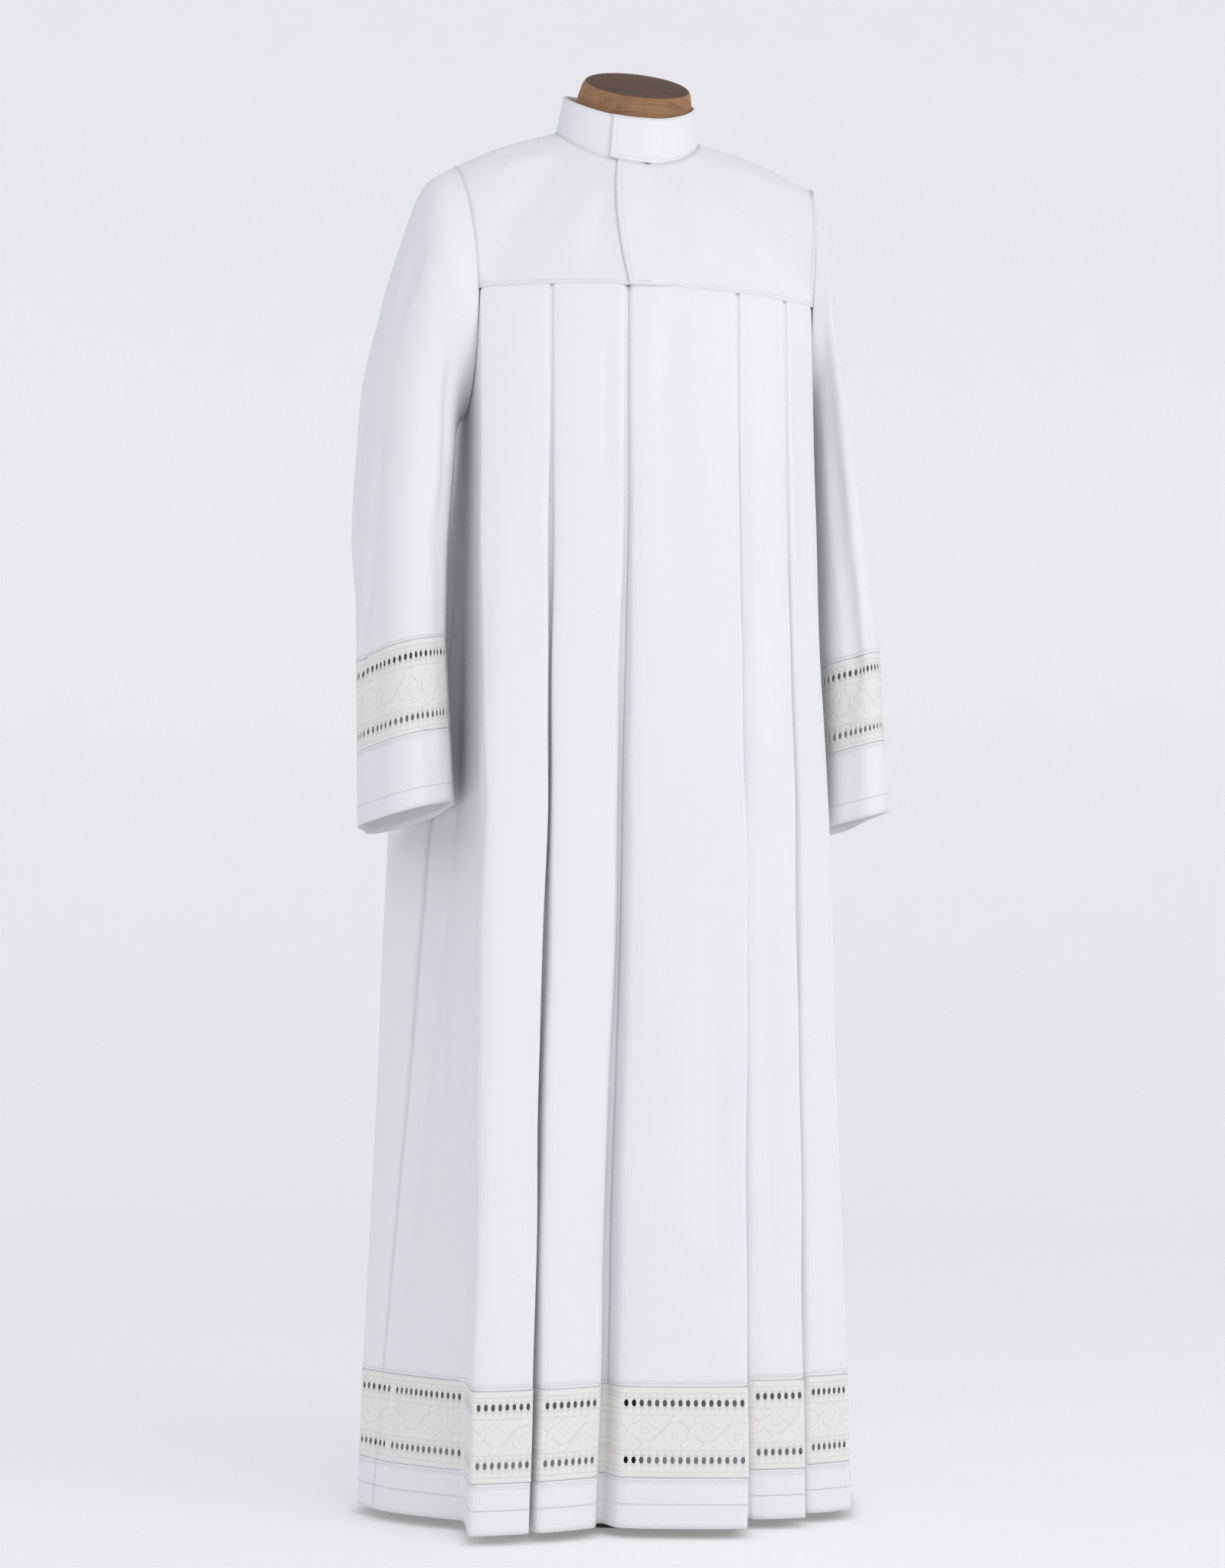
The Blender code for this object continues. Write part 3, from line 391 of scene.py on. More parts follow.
class StageSettings(bpy.types.PropertyGroup):
    """Camera, lights and floor."""

    azimuth: FloatProperty(
        name="Azimuth", description="Where the camera stands round the robe", subtype="ANGLE",
        default=math.radians(-12.0))
    distance: FloatProperty(
        name="Distance", description="From the camera to the neck's axis", unit="LENGTH", default=3.0)
    height: FloatProperty(
        name="Height", description="Height of the camera", unit="LENGTH", default=0.48)
    pitch: FloatProperty(
        name="Pitch", description="How far the camera looks up", subtype="ANGLE",
        default=math.radians(5.8))
    lens: FloatProperty(
        name="Lens", description="Focal length in millimetres", default=63.05)
    key: FloatProperty(
        name="Key light", description="Power of the light from the front right", default=28.0)
    fill: FloatProperty(
        name="Fill light", description="Power of the light from the front", default=15.0)
    sky: FloatProperty(
        name="Room light", description="Strength of the light from all round", default=0.55)
    floor: FloatVectorProperty(
        name="Floor", description="Colour of the floor", subtype="COLOR",
        size=3, min=0.0, max=1.0, default=(0.90, 0.90, 0.90))
    glow: FloatProperty(
        name="Floor glow", description="Light of the pale backdrop itself", default=0.195)


class Channel:
    """A number that runs through a material, with the usual arithmetic."""

    def __init__(self, tree, socket):
        self.tree = tree
        self.socket = socket

    def combine(self, operation, *values):
        node = self.tree.nodes.new("ShaderNodeMath")
        node.operation = operation
        for index, value in enumerate(values):
            if isinstance(value, Channel):
                self.tree.links.new(value.socket, node.inputs[index])
            else:
                node.inputs[index].default_value = value
        return Channel(self.tree, node.outputs[0])

    def __add__(self, other):
        return self.combine("ADD", self, other)

    def __radd__(self, other):
        return self.combine("ADD", other, self)

    def __sub__(self, other):
        return self.combine("SUBTRACT", self, other)

    def __rsub__(self, other):
        return self.combine("SUBTRACT", other, self)

    def __mul__(self, other):
        return self.combine("MULTIPLY", self, other)

    def __rmul__(self, other):
        return self.combine("MULTIPLY", other, self)

    def __truediv__(self, other):
        return self.combine("DIVIDE", self, other)

    def sine(self):
        return self.combine("SINE", self)

    def size(self):
        return self.combine("ABSOLUTE", self)

    def root(self):
        return self.combine("SQRT", self)

    def part(self):
        return self.combine("FRACT", self)

    def larger(self, other):
        return self.combine("MAXIMUM", self, other)

    def smaller(self, other):
        return self.combine("MINIMUM", self, other)

    def within(self):
        """Held between 0 and 1."""
        return self.larger(0.0).smaller(1.0)


class Finish:
    """A material with one way to add a node."""

    def __init__(self, name):
        self.material = bpy.data.materials.new(name)
        self.material.use_nodes = True
        self.tree = self.material.node_tree

    def complete(self, values):
        """Give the shader's own sockets their values, by name; returns the material."""
        for name, value in values.items():
            self.give(self.tree.nodes["Principled BSDF"].inputs[name], value)
        return self.material

    def node(self, kind, settings, sockets, output=0):
        """Add a node, then give its settings and sockets; returns one of its outputs."""
        node = self.tree.nodes.new(kind)
        for name, value in settings.items():
            setattr(node, name, value)
        for key, value in sockets.items():
            self.give(node.inputs[key], value)
        return node.outputs[output]

    def give(self, socket, value):
        if isinstance(value, Channel):
            value = value.socket
        if isinstance(value, bpy.types.NodeSocket):
            self.tree.links.new(value, socket)
        else:
            socket.default_value = value

    def number(self, kind, settings, sockets, output=0):
        return Channel(self.tree, self.node(kind, settings, sockets, output))

    def mix(self, share, first, second):
        """Colour between first and second."""
        colours = [(*value, 1.0) if isinstance(value, tuple) else value
                   for value in (first, second)]
        settings = {"data_type": "RGBA"}
        return self.node("ShaderNodeMix", settings, {0: share, 6: colours[0], 7: colours[1]}, 2)

    def noise(self, vector, scale, detail=3.0, roughness=0.5):
        sockets = {"Vector": vector, "Scale": scale, "Detail": detail, "Roughness": roughness}
        return self.number("ShaderNodeTexNoise", {}, sockets)

    def stretched(self, vector, scale):
        return self.node("ShaderNodeMapping", {}, {"Vector": vector, "Scale": scale})

    def bump(self, height, distance, strength, below=None):
        sockets = {"Height": height, "Distance": distance, "Strength": strength}
        if below is not None:
            sockets["Normal"] = below
        return self.node("ShaderNodeBump", {}, sockets)

    def place(self):
        return self.node("ShaderNodeTexCoord", {}, {}, 3)

    def cloth_place(self):
        """The cloth's own map and its two directions, in metres."""
        spot = self.node("ShaderNodeUVMap", {"uv_map": "cloth"}, {})
        across = self.number("ShaderNodeSeparateXYZ", {}, {0: spot}, 0)
        down = self.number("ShaderNodeSeparateXYZ", {}, {0: spot}, 1)
        return spot, across, down


def colour_of(value, share=1.0):
    """A colour as three numbers, darker where the share is below 1."""
    return tuple(part * share for part in value[:3])


def lines_at(up, heights, half_width):
    """Level lines at the given heights, 1 on a line and 0 beside it, or None."""
    lines = None
    for height in heights:
        near = (1.0 - (up - height).size() / half_width).within()
        lines = near if lines is None else lines.larger(near)
    return lines


def cloth_finish(name, settings, seams=()):
    """Matt white plain weave; seams are heights of pressed lines along the piece, each a groove with
    painted shade in it.
    """
    finish = Finish(name)
    spot, across, down = finish.cloth_place()
    place = finish.place()
    turn = 2 * math.pi / settings.weave
    weave = (across * turn).sine() * (down * turn).sine()
    slub = finish.noise(finish.stretched(spot, (90.0, 1400.0, 1.0)), 1.0, 2.0)
    thread = finish.noise(finish.stretched(spot, (1400.0, 90.0, 1.0)), 1.0, 2.0)
    patches = finish.noise(place, 7.0, 2.0)
    fine = finish.noise(place, 60.0, 3.0)
    tone = ((patches - 0.42) * 1.3).within() * 0.55 + (fine - 0.5) * 0.18 + (slub - 0.5) * 0.16
    colour = finish.mix(tone.within(), colour_of(settings.colour), colour_of(settings.shade))
    line = lines_at(down, seams, 0.9 * MM)
    # painted shade: each pressed line is painted darker, standing in for the shade in its groove
    if line is not None:
        colour = finish.mix(line * 0.5, colour, colour_of(settings.shade, 0.86))
    soft = finish.bump(finish.noise(place, 22.0, 2.0), 0.7 * MM, 0.5)
    pulled = finish.bump(slub + thread, 0.12 * MM, 0.5, soft)
    woven = finish.bump(weave, 0.06 * MM, 0.6, pulled)
    if line is not None:
        woven = finish.bump(line * -1.0, 0.5 * MM, 0.8, woven)
    return finish.complete({
        "Base Color": colour, "Roughness": 0.80 + fine * 0.12, "Normal": woven,
        "Sheen Weight": 0.12, "Sheen Roughness": 0.5, "Specular IOR Level": 0.25})


def leaf(across, up, centre, length, width, angle):
    """A soft-edged leaf, 1 inside and 0 outside, at a centre and an angle."""
    turn = math.radians(angle)
    x = across - centre[0]
    y = up - centre[1]
    along = (x * math.cos(turn) + y * math.sin(turn)) / length
    beside = (y * math.cos(turn) - x * math.sin(turn)) / width
    return (1.3 - (along * along + beside * beside)) * 2.0


def lace_finish(name, settings, rows, band):
    """Warm white openwork: net ground, leaf scroll between the rows, dots by the holes, and painted shade
    along the seams at the band's edges.
    """
    finish = Finish(name)
    spot, across, up = finish.cloth_place()
    place = finish.place()
    repeat = settings.motif
    middle = sum(rows) / 2
    height = up - middle
    local = ((across / repeat).part() - 0.5) * repeat
    swing = (rows[1] - rows[0]) * 0.19
    vine = (across * (2 * math.pi / repeat)).sine() * swing
    motif = (1.4 - (height - vine).size() / (0.9 * MM)).within()
    reach = (rows[1] - rows[0]) * 0.16
    quarter = repeat / 4
    leaves = (
        # centre across, centre up, length, width, angle; shares of the repeat and the reach
        (0.0, 0.0, 8.0, 3.0, 62), (-0.98, 1.5, 6.5, 3.2, 24), (0.98, -1.5, 6.5, 3.2, 24),
        (-0.98, -0.35, 4.6, 4.6, 0), (0.98, 0.35, 4.6, 4.6, 0),
        (-1.52, -0.9, 7.0, 2.8, -38), (1.52, 0.9, 7.0, 2.8, -38),
        (-0.45, -1.35, 5.6, 2.4, 34), (0.45, 1.35, 5.6, 2.4, 34),
    )
    for across_share, up_share, length, width, angle in leaves:
        centre = (across_share * quarter, up_share * reach)
        motif = motif.larger(leaf(local, height, centre, length * MM, width * MM, angle))
    motif = motif.within()
    eyes = None
    for across_share, up_share in ((-0.98, -0.35), (0.98, 0.35)):
        eye = leaf(local, height, (across_share * quarter, up_share * reach), 1.6 * MM, 1.6 * MM, 0)
        eyes = eye if eyes is None else eyes.larger(eye)
    motif = motif - eyes.within() * 0.8
    pitch_place = ((across / settings.pitch).part() - 0.5) * settings.pitch
    raised = motif
    for row in rows:
        for away in (-7.6 * MM, 7.6 * MM):
            to_dot = (pitch_place * pitch_place + (up - (row + away)) * (up - (row + away))).root()
            raised = raised.larger((1.6 - to_dot / (0.9 * MM)).within())
        for away in (-11.5 * MM, -5.6 * MM, 5.6 * MM, 10.0 * MM):
            raised = raised.larger((1.3 - (up - (row + away)).size() / (0.6 * MM)).within() * 0.8)
    net_turn = 2 * math.pi / (1.7 * MM)
    net = ((across * net_turn).sine() * (up * net_turn).sine()).size()
    patches = finish.noise(place, 16.0, 2.0)
    seams = lines_at(up, band, 1.3 * MM)
    ground = finish.mix((net * 0.45 + (patches - 0.4) * 0.8).within(),
                        colour_of(settings.colour), colour_of(settings.ground))
    colour = finish.mix(raised.within() * 0.85, ground, colour_of(settings.colour))
    # painted shade: the seams at the band's edges are painted darker, standing in for the shade in their
    # grooves
    colour = finish.mix(seams * 0.55, colour, colour_of(settings.ground, 0.80))
    low = finish.bump(net, 0.15 * MM, 0.6)
    high = finish.bump(raised, 0.7 * MM, 0.8, low)
    return finish.complete({
        "Base Color": colour, "Roughness": 0.82 + patches * 0.1,
        "Normal": finish.bump(seams * -1.0, 0.6 * MM, 0.8, high),
        "Sheen Weight": 0.1, "Specular IOR Level": 0.25})


def thread_finish(settings):
    """Twisted sewing thread."""
    finish = Finish("sewing thread")
    twist = finish.noise(finish.place(), 900.0, 1.0)
    light, dark = colour_of(settings.colour), colour_of(settings.colour, 0.88)
    return finish.complete({"Base Color": finish.mix(twist, light, dark), "Roughness": 0.7,
                            "Normal": finish.bump(twist, 0.1 * MM, 0.6)})


def wood_finish(name, light, dark):
    """Satin brown wood with level grain, small scuffs and darker pores."""
    finish = Finish(name)
    place = finish.place()
    grain = finish.noise(finish.stretched(place, (9.0, 9.0, 120.0)), 1.0, 4.0, 0.6)
    broad = finish.noise(finish.stretched(place, (6.0, 6.0, 30.0)), 1.0, 2.0)
    scuff = finish.noise(place, 160.0, 4.0, 0.7)
    tone = ((grain - 0.35) * 1.8).within() * 0.7 + (broad - 0.4) * 0.8
    warm = finish.mix(tone.within(), light, dark)
    streak = finish.noise(finish.stretched(place, (14.0, 14.0, 210.0)), 1.0, 3.0, 0.55)
    red = (dark[0] * 1.05, dark[1] * 0.62, dark[2] * 0.60)
    warm = finish.mix(((streak - 0.55) * 7.0).within() * 0.6, warm, red)
    stain = finish.noise(place, 24.0, 3.0, 0.6)
    dull = (dark[0] * 0.62, dark[1] * 0.72, dark[2] * 0.80)
    warm = finish.mix(((stain - 0.52) * 5.0).within() * 0.55, warm, dull)
    worn = tuple(min(1.0, value * 1.35 + 0.02) for value in light)
    colour = finish.mix(((scuff - 0.60) * 5.0).within() * 0.45, warm, worn)
    low = finish.bump(grain, 0.5 * MM, 0.5)
    return finish.complete({
        "Base Color": colour, "Roughness": 0.50 + scuff * 0.25, "Specular IOR Level": 0.2,
        "Normal": finish.bump(scuff, 0.2 * MM, 0.3, low)})


def paint_finish(colour):
    """Satin paint on steel, with faint orange peel and rubbed patches."""
    finish = Finish("stand paint")
    place = finish.place()
    peel = finish.noise(place, 420.0, 2.0)
    rubbed = finish.noise(place, 24.0, 5.0, 0.65)
    lighter = tuple(value * 1.9 + 0.01 for value in colour)
    share = ((rubbed - 0.56) * 4.0).within() * 0.6
    return finish.complete({
        "Base Color": finish.mix(share, colour, lighter), "Roughness": 0.36 + rubbed * 0.2,
        "Normal": finish.bump(peel, 0.1 * MM, 0.4)})


def three_levels(low, middle, high, z, top_z=YOKE_Z):
    """Value at height z of something given at the hem, the middle level and its top."""
    if z < MID_Z:
        return low + (middle - low) * (z - HEM_Z) / (MID_Z - HEM_Z)
    share = (top_z - z) / (top_z - MID_Z)
    return high + (middle - high) * max(0.0, share) ** FLARE_POWER


def armhole_x(y, z):
    """Distance of the armhole's edge from the middle plane."""
    rise = (z - (ARM_CENTRE_Z - ARM_HALF_HEIGHT)) / (2 * ARM_HALF_HEIGHT)
    across = (y - ARM_CENTRE_Y) / ARM_HALF_DEPTH
    return ARM_X_LOW + (ARM_X_HIGH - ARM_X_LOW) * rise - ARM_X_HOLLOW * across * across


def seam_line(x, back=False):
    """Y of the yoke's lower edge at x, at the front or the back."""
    middle = BACK_Y if back else CHEST_Y
    corner_reach = ARM_HALF_DEPTH * math.cos(math.radians(ARM_DIP))
    corner = ARM_CENTRE_Y + (corner_reach if back else -corner_reach)
    return middle + (corner - middle) * (abs(x) / YOKE_HALF_WIDTH) ** SEAM_CURVE


def top_of_fold(edge, value):
    """Plan point and height where a fold's edge is sewn on."""
    value = value * MM
    if edge in ("front", "back"):
        return Vector((value, seam_line(value, edge == "back"))), YOKE_Z
    across = (value - ARM_CENTRE_Y) / ARM_HALF_DEPTH
    z = ARM_CENTRE_Z - ARM_HALF_HEIGHT * math.sqrt(max(0.0, 1.0 - across * across))
    side = 1.0 if edge == "left" else -1.0
    return Vector((side * armhole_x(value, z), value)), z


def fold_point(fold, place, z):
    """Plan point at height z on a fold's face, where place runs from 0 at a to 1 at b."""
    _, hax, hay, hbx, hby, max_, may, mbx, mby, edge, top_a, top_b, _ = fold
    high, top_z = top_of_fold(edge, top_a + (top_b - top_a) * place)
    hem_x, hem_y = hax + (hbx - hax) * place, hay + (hby - hay) * place
    mid_x, mid_y = max_ + (mbx - max_) * place, may + (mby - may) * place
    x = three_levels(hem_x * MM, mid_x * MM, high.x, z, top_z)
    y = three_levels(hem_y * MM, mid_y * MM, high.y, z, top_z)
    return Vector((x, y))


def top_height(fold, place):
    """Height at which a fold is sewn on, at a place along its face."""
    return top_of_fold(fold[9], fold[10] + (fold[11] - fold[10]) * place)[1]


def step_towards(corner, target):
    """Point beside a fold's corner, on the way into the groove."""
    way = target - corner
    return corner + way * min(MOST_ROUNDING, FOLD_ROUNDING / way.length)


def with_height(spot, z):
    return Vector((spot.x, spot.y, z))


def wander(index, z):
    """Sideways shift of a fold's edges at height z, none where it is sewn on."""
    ease = min(1.0, max(0.0, (YOKE_Z - z) / WAVE_START))
    first, second = WAVE_LENGTHS
    phase = index * WAVE_STEP
    wave = math.sin(2 * math.pi * z / first + phase)
    wave += 0.5 * math.sin(2 * math.pi * z / second + WAVE_MIX * phase)
    return WAVE * wave * ease


def eased(share):
    """A share from 0 to 1 that starts and ends softly."""
    return share * share * (3 - 2 * share)


def groove_width(index, z, top):
    """Width of the groove after a fold; the one beside the opening is uneven."""
    if FOLDS[index][0] != CENTRE_SEAM_AFTER:
        return three_levels(*GROOVE_WIDTH, z, top)
    for (low, narrow), (high, wide) in zip(CENTRE_GROOVE, CENTRE_GROOVE[1:]):
        if z <= high * MM:
            share = max(0.0, (z - low * MM) / ((high - low) * MM))
            return (narrow + (wide - narrow) * eased(share)) * MM
    return CENTRE_GROOVE[-1][1] * MM


class FoldAtLevel:
    """One fold at one level: its face, and the corners of the space after it."""

    def __init__(self, index, height_of):
        self.fold = FOLDS[index]
        self.height_of = height_of
        after = FOLDS[(index + 1) % len(FOLDS)]
        top_b = top_height(self.fold, 1)
        z_a = height_of(top_height(self.fold, 0))
        z_b = height_of(top_b)
        z_next = height_of(top_height(after, 0))
        start, end = fold_point(self.fold, 0, z_a), fold_point(self.fold, 1, z_b)
        following = fold_point(after, 0, z_next), fold_point(after, 1, z_next)
        after_end = fold_point(after, 1, height_of(top_height(after, 1)))
        along = (end - start).normalized()
        self.shift = along * wander(index, z_b)
        end = end + self.shift
        along_after = (following[1] - following[0]).normalized()
        shift_after = along_after * wander((index + 1) % len(FOLDS), z_next)
        following = (following[0] + shift_after, following[1])
        self.outward = Vector((along.y, -along.x))
        self.width = (end - start).length
        mean = (along + (following[1] - following[0]).normalized()).normalized()
        inward = Vector((-mean.y, mean.x))
        if max(self.fold[12]) > 0:
            depth = three_levels(*(value * MM for value in self.fold[12]), z_b, top_b)
            wide = groove_width(index, z_b, top_b)
            deeper = end if (following[0] - end).dot(inward) < 0 else following[0]
            level = deeper.dot(inward) + depth
            spread = max(0.0, (following[0] - end).dot(mean) - wide) / 2
            low_b = end + mean * spread + inward * (level - end.dot(inward))
            low_a = following[0] - mean * spread + inward * (level - following[0].dot(inward))
            low_z = (z_b, z_next)
        else:
            low_b, low_a = (end.lerp(following[0], share) for share in STEP_CORNERS)
            low_z = [z_b + (z_next - z_b) * share for share in STEP_CORNERS]
        next_along = (after_end - following[0]).normalized()
        self.corners = (
            with_height(end - along * FOLD_ROUNDING, z_b),
            with_height(step_towards(end, low_b), z_b),
            with_height(low_b, low_z[0]),
            with_height(low_a, low_z[1]),
            with_height(step_towards(following[0], low_a), z_next),
            with_height(following[0] + next_along * FOLD_ROUNDING, z_next),
        )

    def point(self, edge, share):
        """Point on the face (edge 0) or on one of the five sides of the space after it."""
        if edge:
            return self.corners[edge - 1].lerp(self.corners[edge], share)
        place = (FOLD_ROUNDING + (self.width - 2 * FOLD_ROUNDING) * share) / self.width
        top = top_height(self.fold, place)
        z = self.height_of(top)
        swell = FACE_SWELL * self.width * 4 * share * (1 - share)
        swell *= three_levels(1.0, 1.0, 0.0, z, top)
        return with_height(fold_point(self.fold, place, z) + self.shift + self.outward * swell, z)


def hem_width(index):
    fold = FOLDS[index]
    return Vector((fold[3] - fold[1], fold[4] - fold[2])).length * MM


def space_width(index):
    """Width at the hem of a step with no groove."""
    fold, after = FOLDS[index], FOLDS[(index + 1) % len(FOLDS)]
    return Vector((after[1] - fold[3], after[2] - fold[4])).length * MM


def cloth_columns(column_width):
    """Columns of plain cloth, as (fold, edge, share, distance round the hem)."""
    columns = []
    travelled = 0.0
    for index, fold in enumerate(FOLDS):
        step = max(fold[12]) == 0
        wall = space_width(index) / 3 if step else fold[12][0] * MM
        lengths = (hem_width(index), FOLD_ROUNDING, wall, 5 * MM, wall, FOLD_ROUNDING)
        for edge, (length, least) in enumerate(zip(lengths, (6, 2, 5, 3, 5, 2))):
            count = max(least, round(length / column_width))
            for k in range(count):
                columns.append((index, edge, k / count, travelled + length * k / count, None))
            travelled += length
    return columns, travelled


def lace_columns(pitch, hole_width):
    """Columns of the lace; the last entry is True where a hole starts at the column."""
    columns = []
    travelled = 0.0
    for index, fold in enumerate(FOLDS):
        step = max(fold[12]) == 0
        wall = space_width(index) / 3 if step else 0.0
        for edge, length in enumerate((hem_width(index), 0.0, wall, wall, wall, 0.0)):
            count = int(round(length / pitch))
            if not count:
                pieces = 3 if edge in (2, 4) else 1
                for k in range(pieces):
                    columns.append((index, edge, k / pieces, travelled, False))
                continue
            half = hole_width / 2 / pitch
            columns.append((index, edge, 0.0, travelled, False))
            for k in range(count):
                for away, starts in ((-half, True), (half, False)):
                    share = (k + 0.5 + away) / count
                    columns.append((index, edge, share, travelled + (k + 0.5 + away) * pitch, starts))
            travelled += count * pitch
    return columns, travelled


def outline(height_of, columns, passes):
    """Closed outline of the skirt at one level, its corners rounded by a few passes."""
    folds = [FoldAtLevel(index, height_of) for index in range(len(FOLDS))]
    points = [folds[index].point(edge, share) for index, edge, share, _, _ in columns]
    count = len(points)
    for _ in range(passes):
        points = [points[i] * 0.5 + (points[i - 1] + points[(i + 1) % count]) * 0.25
                  for i in range(count)]
    return points


def seam_columns(columns):
    """Columns of the left, right and centre seams."""
    found = []
    names = [fold[0] for fold in FOLDS]
    for seam in (LEFT_SEAM_AFTER, RIGHT_SEAM_AFTER, CENTRE_SEAM_AFTER):
        index = names.index(seam)
        found.append([c for c, entry in enumerate(columns) if entry[:3] == (index, 4, 0.0)][0])
    return found


def panel(rows, columns, around, first, last):
    """One panel's rows and its distances round the hem, its ends drawn in by half a seam."""
    count = len(columns)
    span = (last - first) % count or count
    picked = [(first + j) % count for j in range(span + 1)]
    result = []
    for row in rows:
        piece = [row[c].copy() for c in picked]
        for end, beside in ((0, 1), (-1, -2)):
            way = piece[beside] - piece[end]
            way.z = 0.0
            if way.length > SEAM:
                piece[end] += way.normalized() * SEAM / 2
        result.append(piece)
    start = columns[first][3]
    distances = [(columns[c][3] - start) % around for c in picked]
    if distances[-1] == 0.0:
        distances[-1] = around
    return result, distances, picked


def crease_depth(point, group):
    """How far the creases of a group draw the cloth in at a point."""
    depth = 0.0
    for ax, ay, az, bx, by, bz, deep, wide in CREASES[group]:
        start = Vector((ax, ay, az)) * MM
        way = Vector((bx, by, bz)) * MM - start
        share = max(0.0, min(1.0, (point - start).dot(way) / way.length_squared))
        away = (point - start - way * share).length / (wide * MM)
        if away < 1:
            ends = min(1.0, share / CREASE_END) * min(1.0, (1 - share) / CREASE_END)
            depth += deep * MM * (math.cos(math.pi * away) + 1) / 2 * eased(ends)
    return depth


def grid(columns, lines):
    """A flat grid of faces, with the row and the column of each of its corners."""
    mesh_data = bmesh.new()
    bmesh.ops.create_grid(mesh_data, x_segments=columns - 1, y_segments=lines - 1, size=1.0)
    where = {}
    for vert in mesh_data.verts:
        row = round((vert.co.y + 1) / 2 * (lines - 1))
        where[vert] = (row, round((vert.co.x + 1) / 2 * (columns - 1)))
    return mesh_data, where


def cloth_piece(name, rows, across, up, surface, inside, group=None, closed=False, holes=(),
                thickness=None, finer=0):
    """Lay a grid on rows of points, crease it and give it its thickness.

    across and up are the cloth's own distances for the columns and rows. inside is a point
    on the hidden side. Distances of the points are from the neck's axis.
    """
    settings = bpy.context.scene.alb_cloth
    mesh_data, where = grid(len(rows[0]), len(rows))
    for vert, (i, j) in where.items():
        vert.co = rows[i][j]
    layer = mesh_data.loops.layers.uv.new("cloth")
    cut = []
    for face in mesh_data.faces:
        corners = [where[loop.vert] for loop in face.loops]
        for loop, (i, j) in zip(face.loops, corners):
            loop[layer].uv = (across[j], up[i])
        if (min(c[0] for c in corners), min(c[1] for c in corners)) in holes:
            cut.append(face)
    if cut:
        bmesh.ops.delete(mesh_data, geom=cut, context="FACES")
    if closed:
        bmesh.ops.remove_doubles(mesh_data, verts=mesh_data.verts, dist=SAME_SPOT)
    mesh_data.normal_update()
    out = sum(face.normal.dot(face.calc_center_median() - inside) * face.calc_area()
              for face in mesh_data.faces)
    if out < 0:
        bmesh.ops.reverse_faces(mesh_data, faces=mesh_data.faces)
        mesh_data.normal_update()
    if group:
        moves = [(vert, vert.normal * crease_depth(vert.co, group)) for vert in mesh_data.verts]
        for vert, move in moves:
            vert.co -= move * settings.crease
    piece = new_piece(name, mesh_data, surface)
    if finer:
        modifier = piece.modifiers.new("finer", "SUBSURF")
        modifier.levels = finer
        modifier.render_levels = finer
        modifier.boundary_smooth = "PRESERVE_CORNERS"
    modifier = piece.modifiers.new("thickness", "SOLIDIFY")
    modifier.thickness = thickness or settings.thickness
    modifier.offset = -1.0
    return piece


def smooth_object(name, mesh_data, surface):
    """Turn a mesh into a smooth object with one material."""
    for face in mesh_data.faces:
        face.smooth = True
    mesh = bpy.data.meshes.new(name)
    mesh_data.to_mesh(mesh)
    mesh_data.free()
    mesh.materials.append(surface)
    made = bpy.data.objects.new(name, mesh)
    bpy.context.scene.collection.objects.link(made)
    return made


def new_piece(name, mesh_data, surface):
    """Make a mesh, given from the neck's axis, a piece that rides on the part."""
    bmesh.ops.translate(mesh_data, verts=mesh_data.verts, vec=(0.0, NECK_Y, 0.0))
    piece = smooth_object(name, mesh_data, surface)
    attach(piece, "root")
    return piece


def tucked(rows, inside, at_top, amount=None):
    """Rows with one more at the top or bottom, tucked under the neighbouring piece."""
    last, before = (rows[-1], rows[-2]) if at_top else (rows[0], rows[1])
    row = []
    for j, point in enumerate(last):
        onward = (point - before[j]).normalized()
        beside = last[min(j + 1, len(last) - 1)] - last[max(j - 1, 0)]
        if beside.length < 1e-6:
            beside = last[1] - last[-2]
        inward = onward.cross(beside).normalized()
        if inward.dot(inside - point) < 0:
            inward.negate()
        share = amount(point) if amount else 1.0
        row.append(point + (onward * TUCK_LENGTH + inward * TUCK_DEPTH) * share)
    return list(rows) + [row] if at_top else [row] + list(rows)


def declare(rests_on, nodes):
    """Hide the solids that the piece stands for; what it was cut from, rests_on, is not used."""
    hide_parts(*nodes)


def neck_point(angle, half_width, front, back, heights):
    """Point of a ring round the neck; angle 0 is the front, 90 degrees the left side."""
    turn = math.radians(angle)
    depth = front if math.cos(turn) > 0 else back
    low, high, rise = heights
    z = low + (high - low) * (1 - math.cos(turn)) / 2 + rise * math.sin(turn) ** 2
    return Vector((half_width * math.sin(turn) + NECK_X, -depth * math.cos(turn), z))


def neck_angle(x):
    """Angle round the neckline, near the front, where it has this x."""
    return math.degrees(math.asin((x - NECK_X) / NECK_HALF_WIDTH))


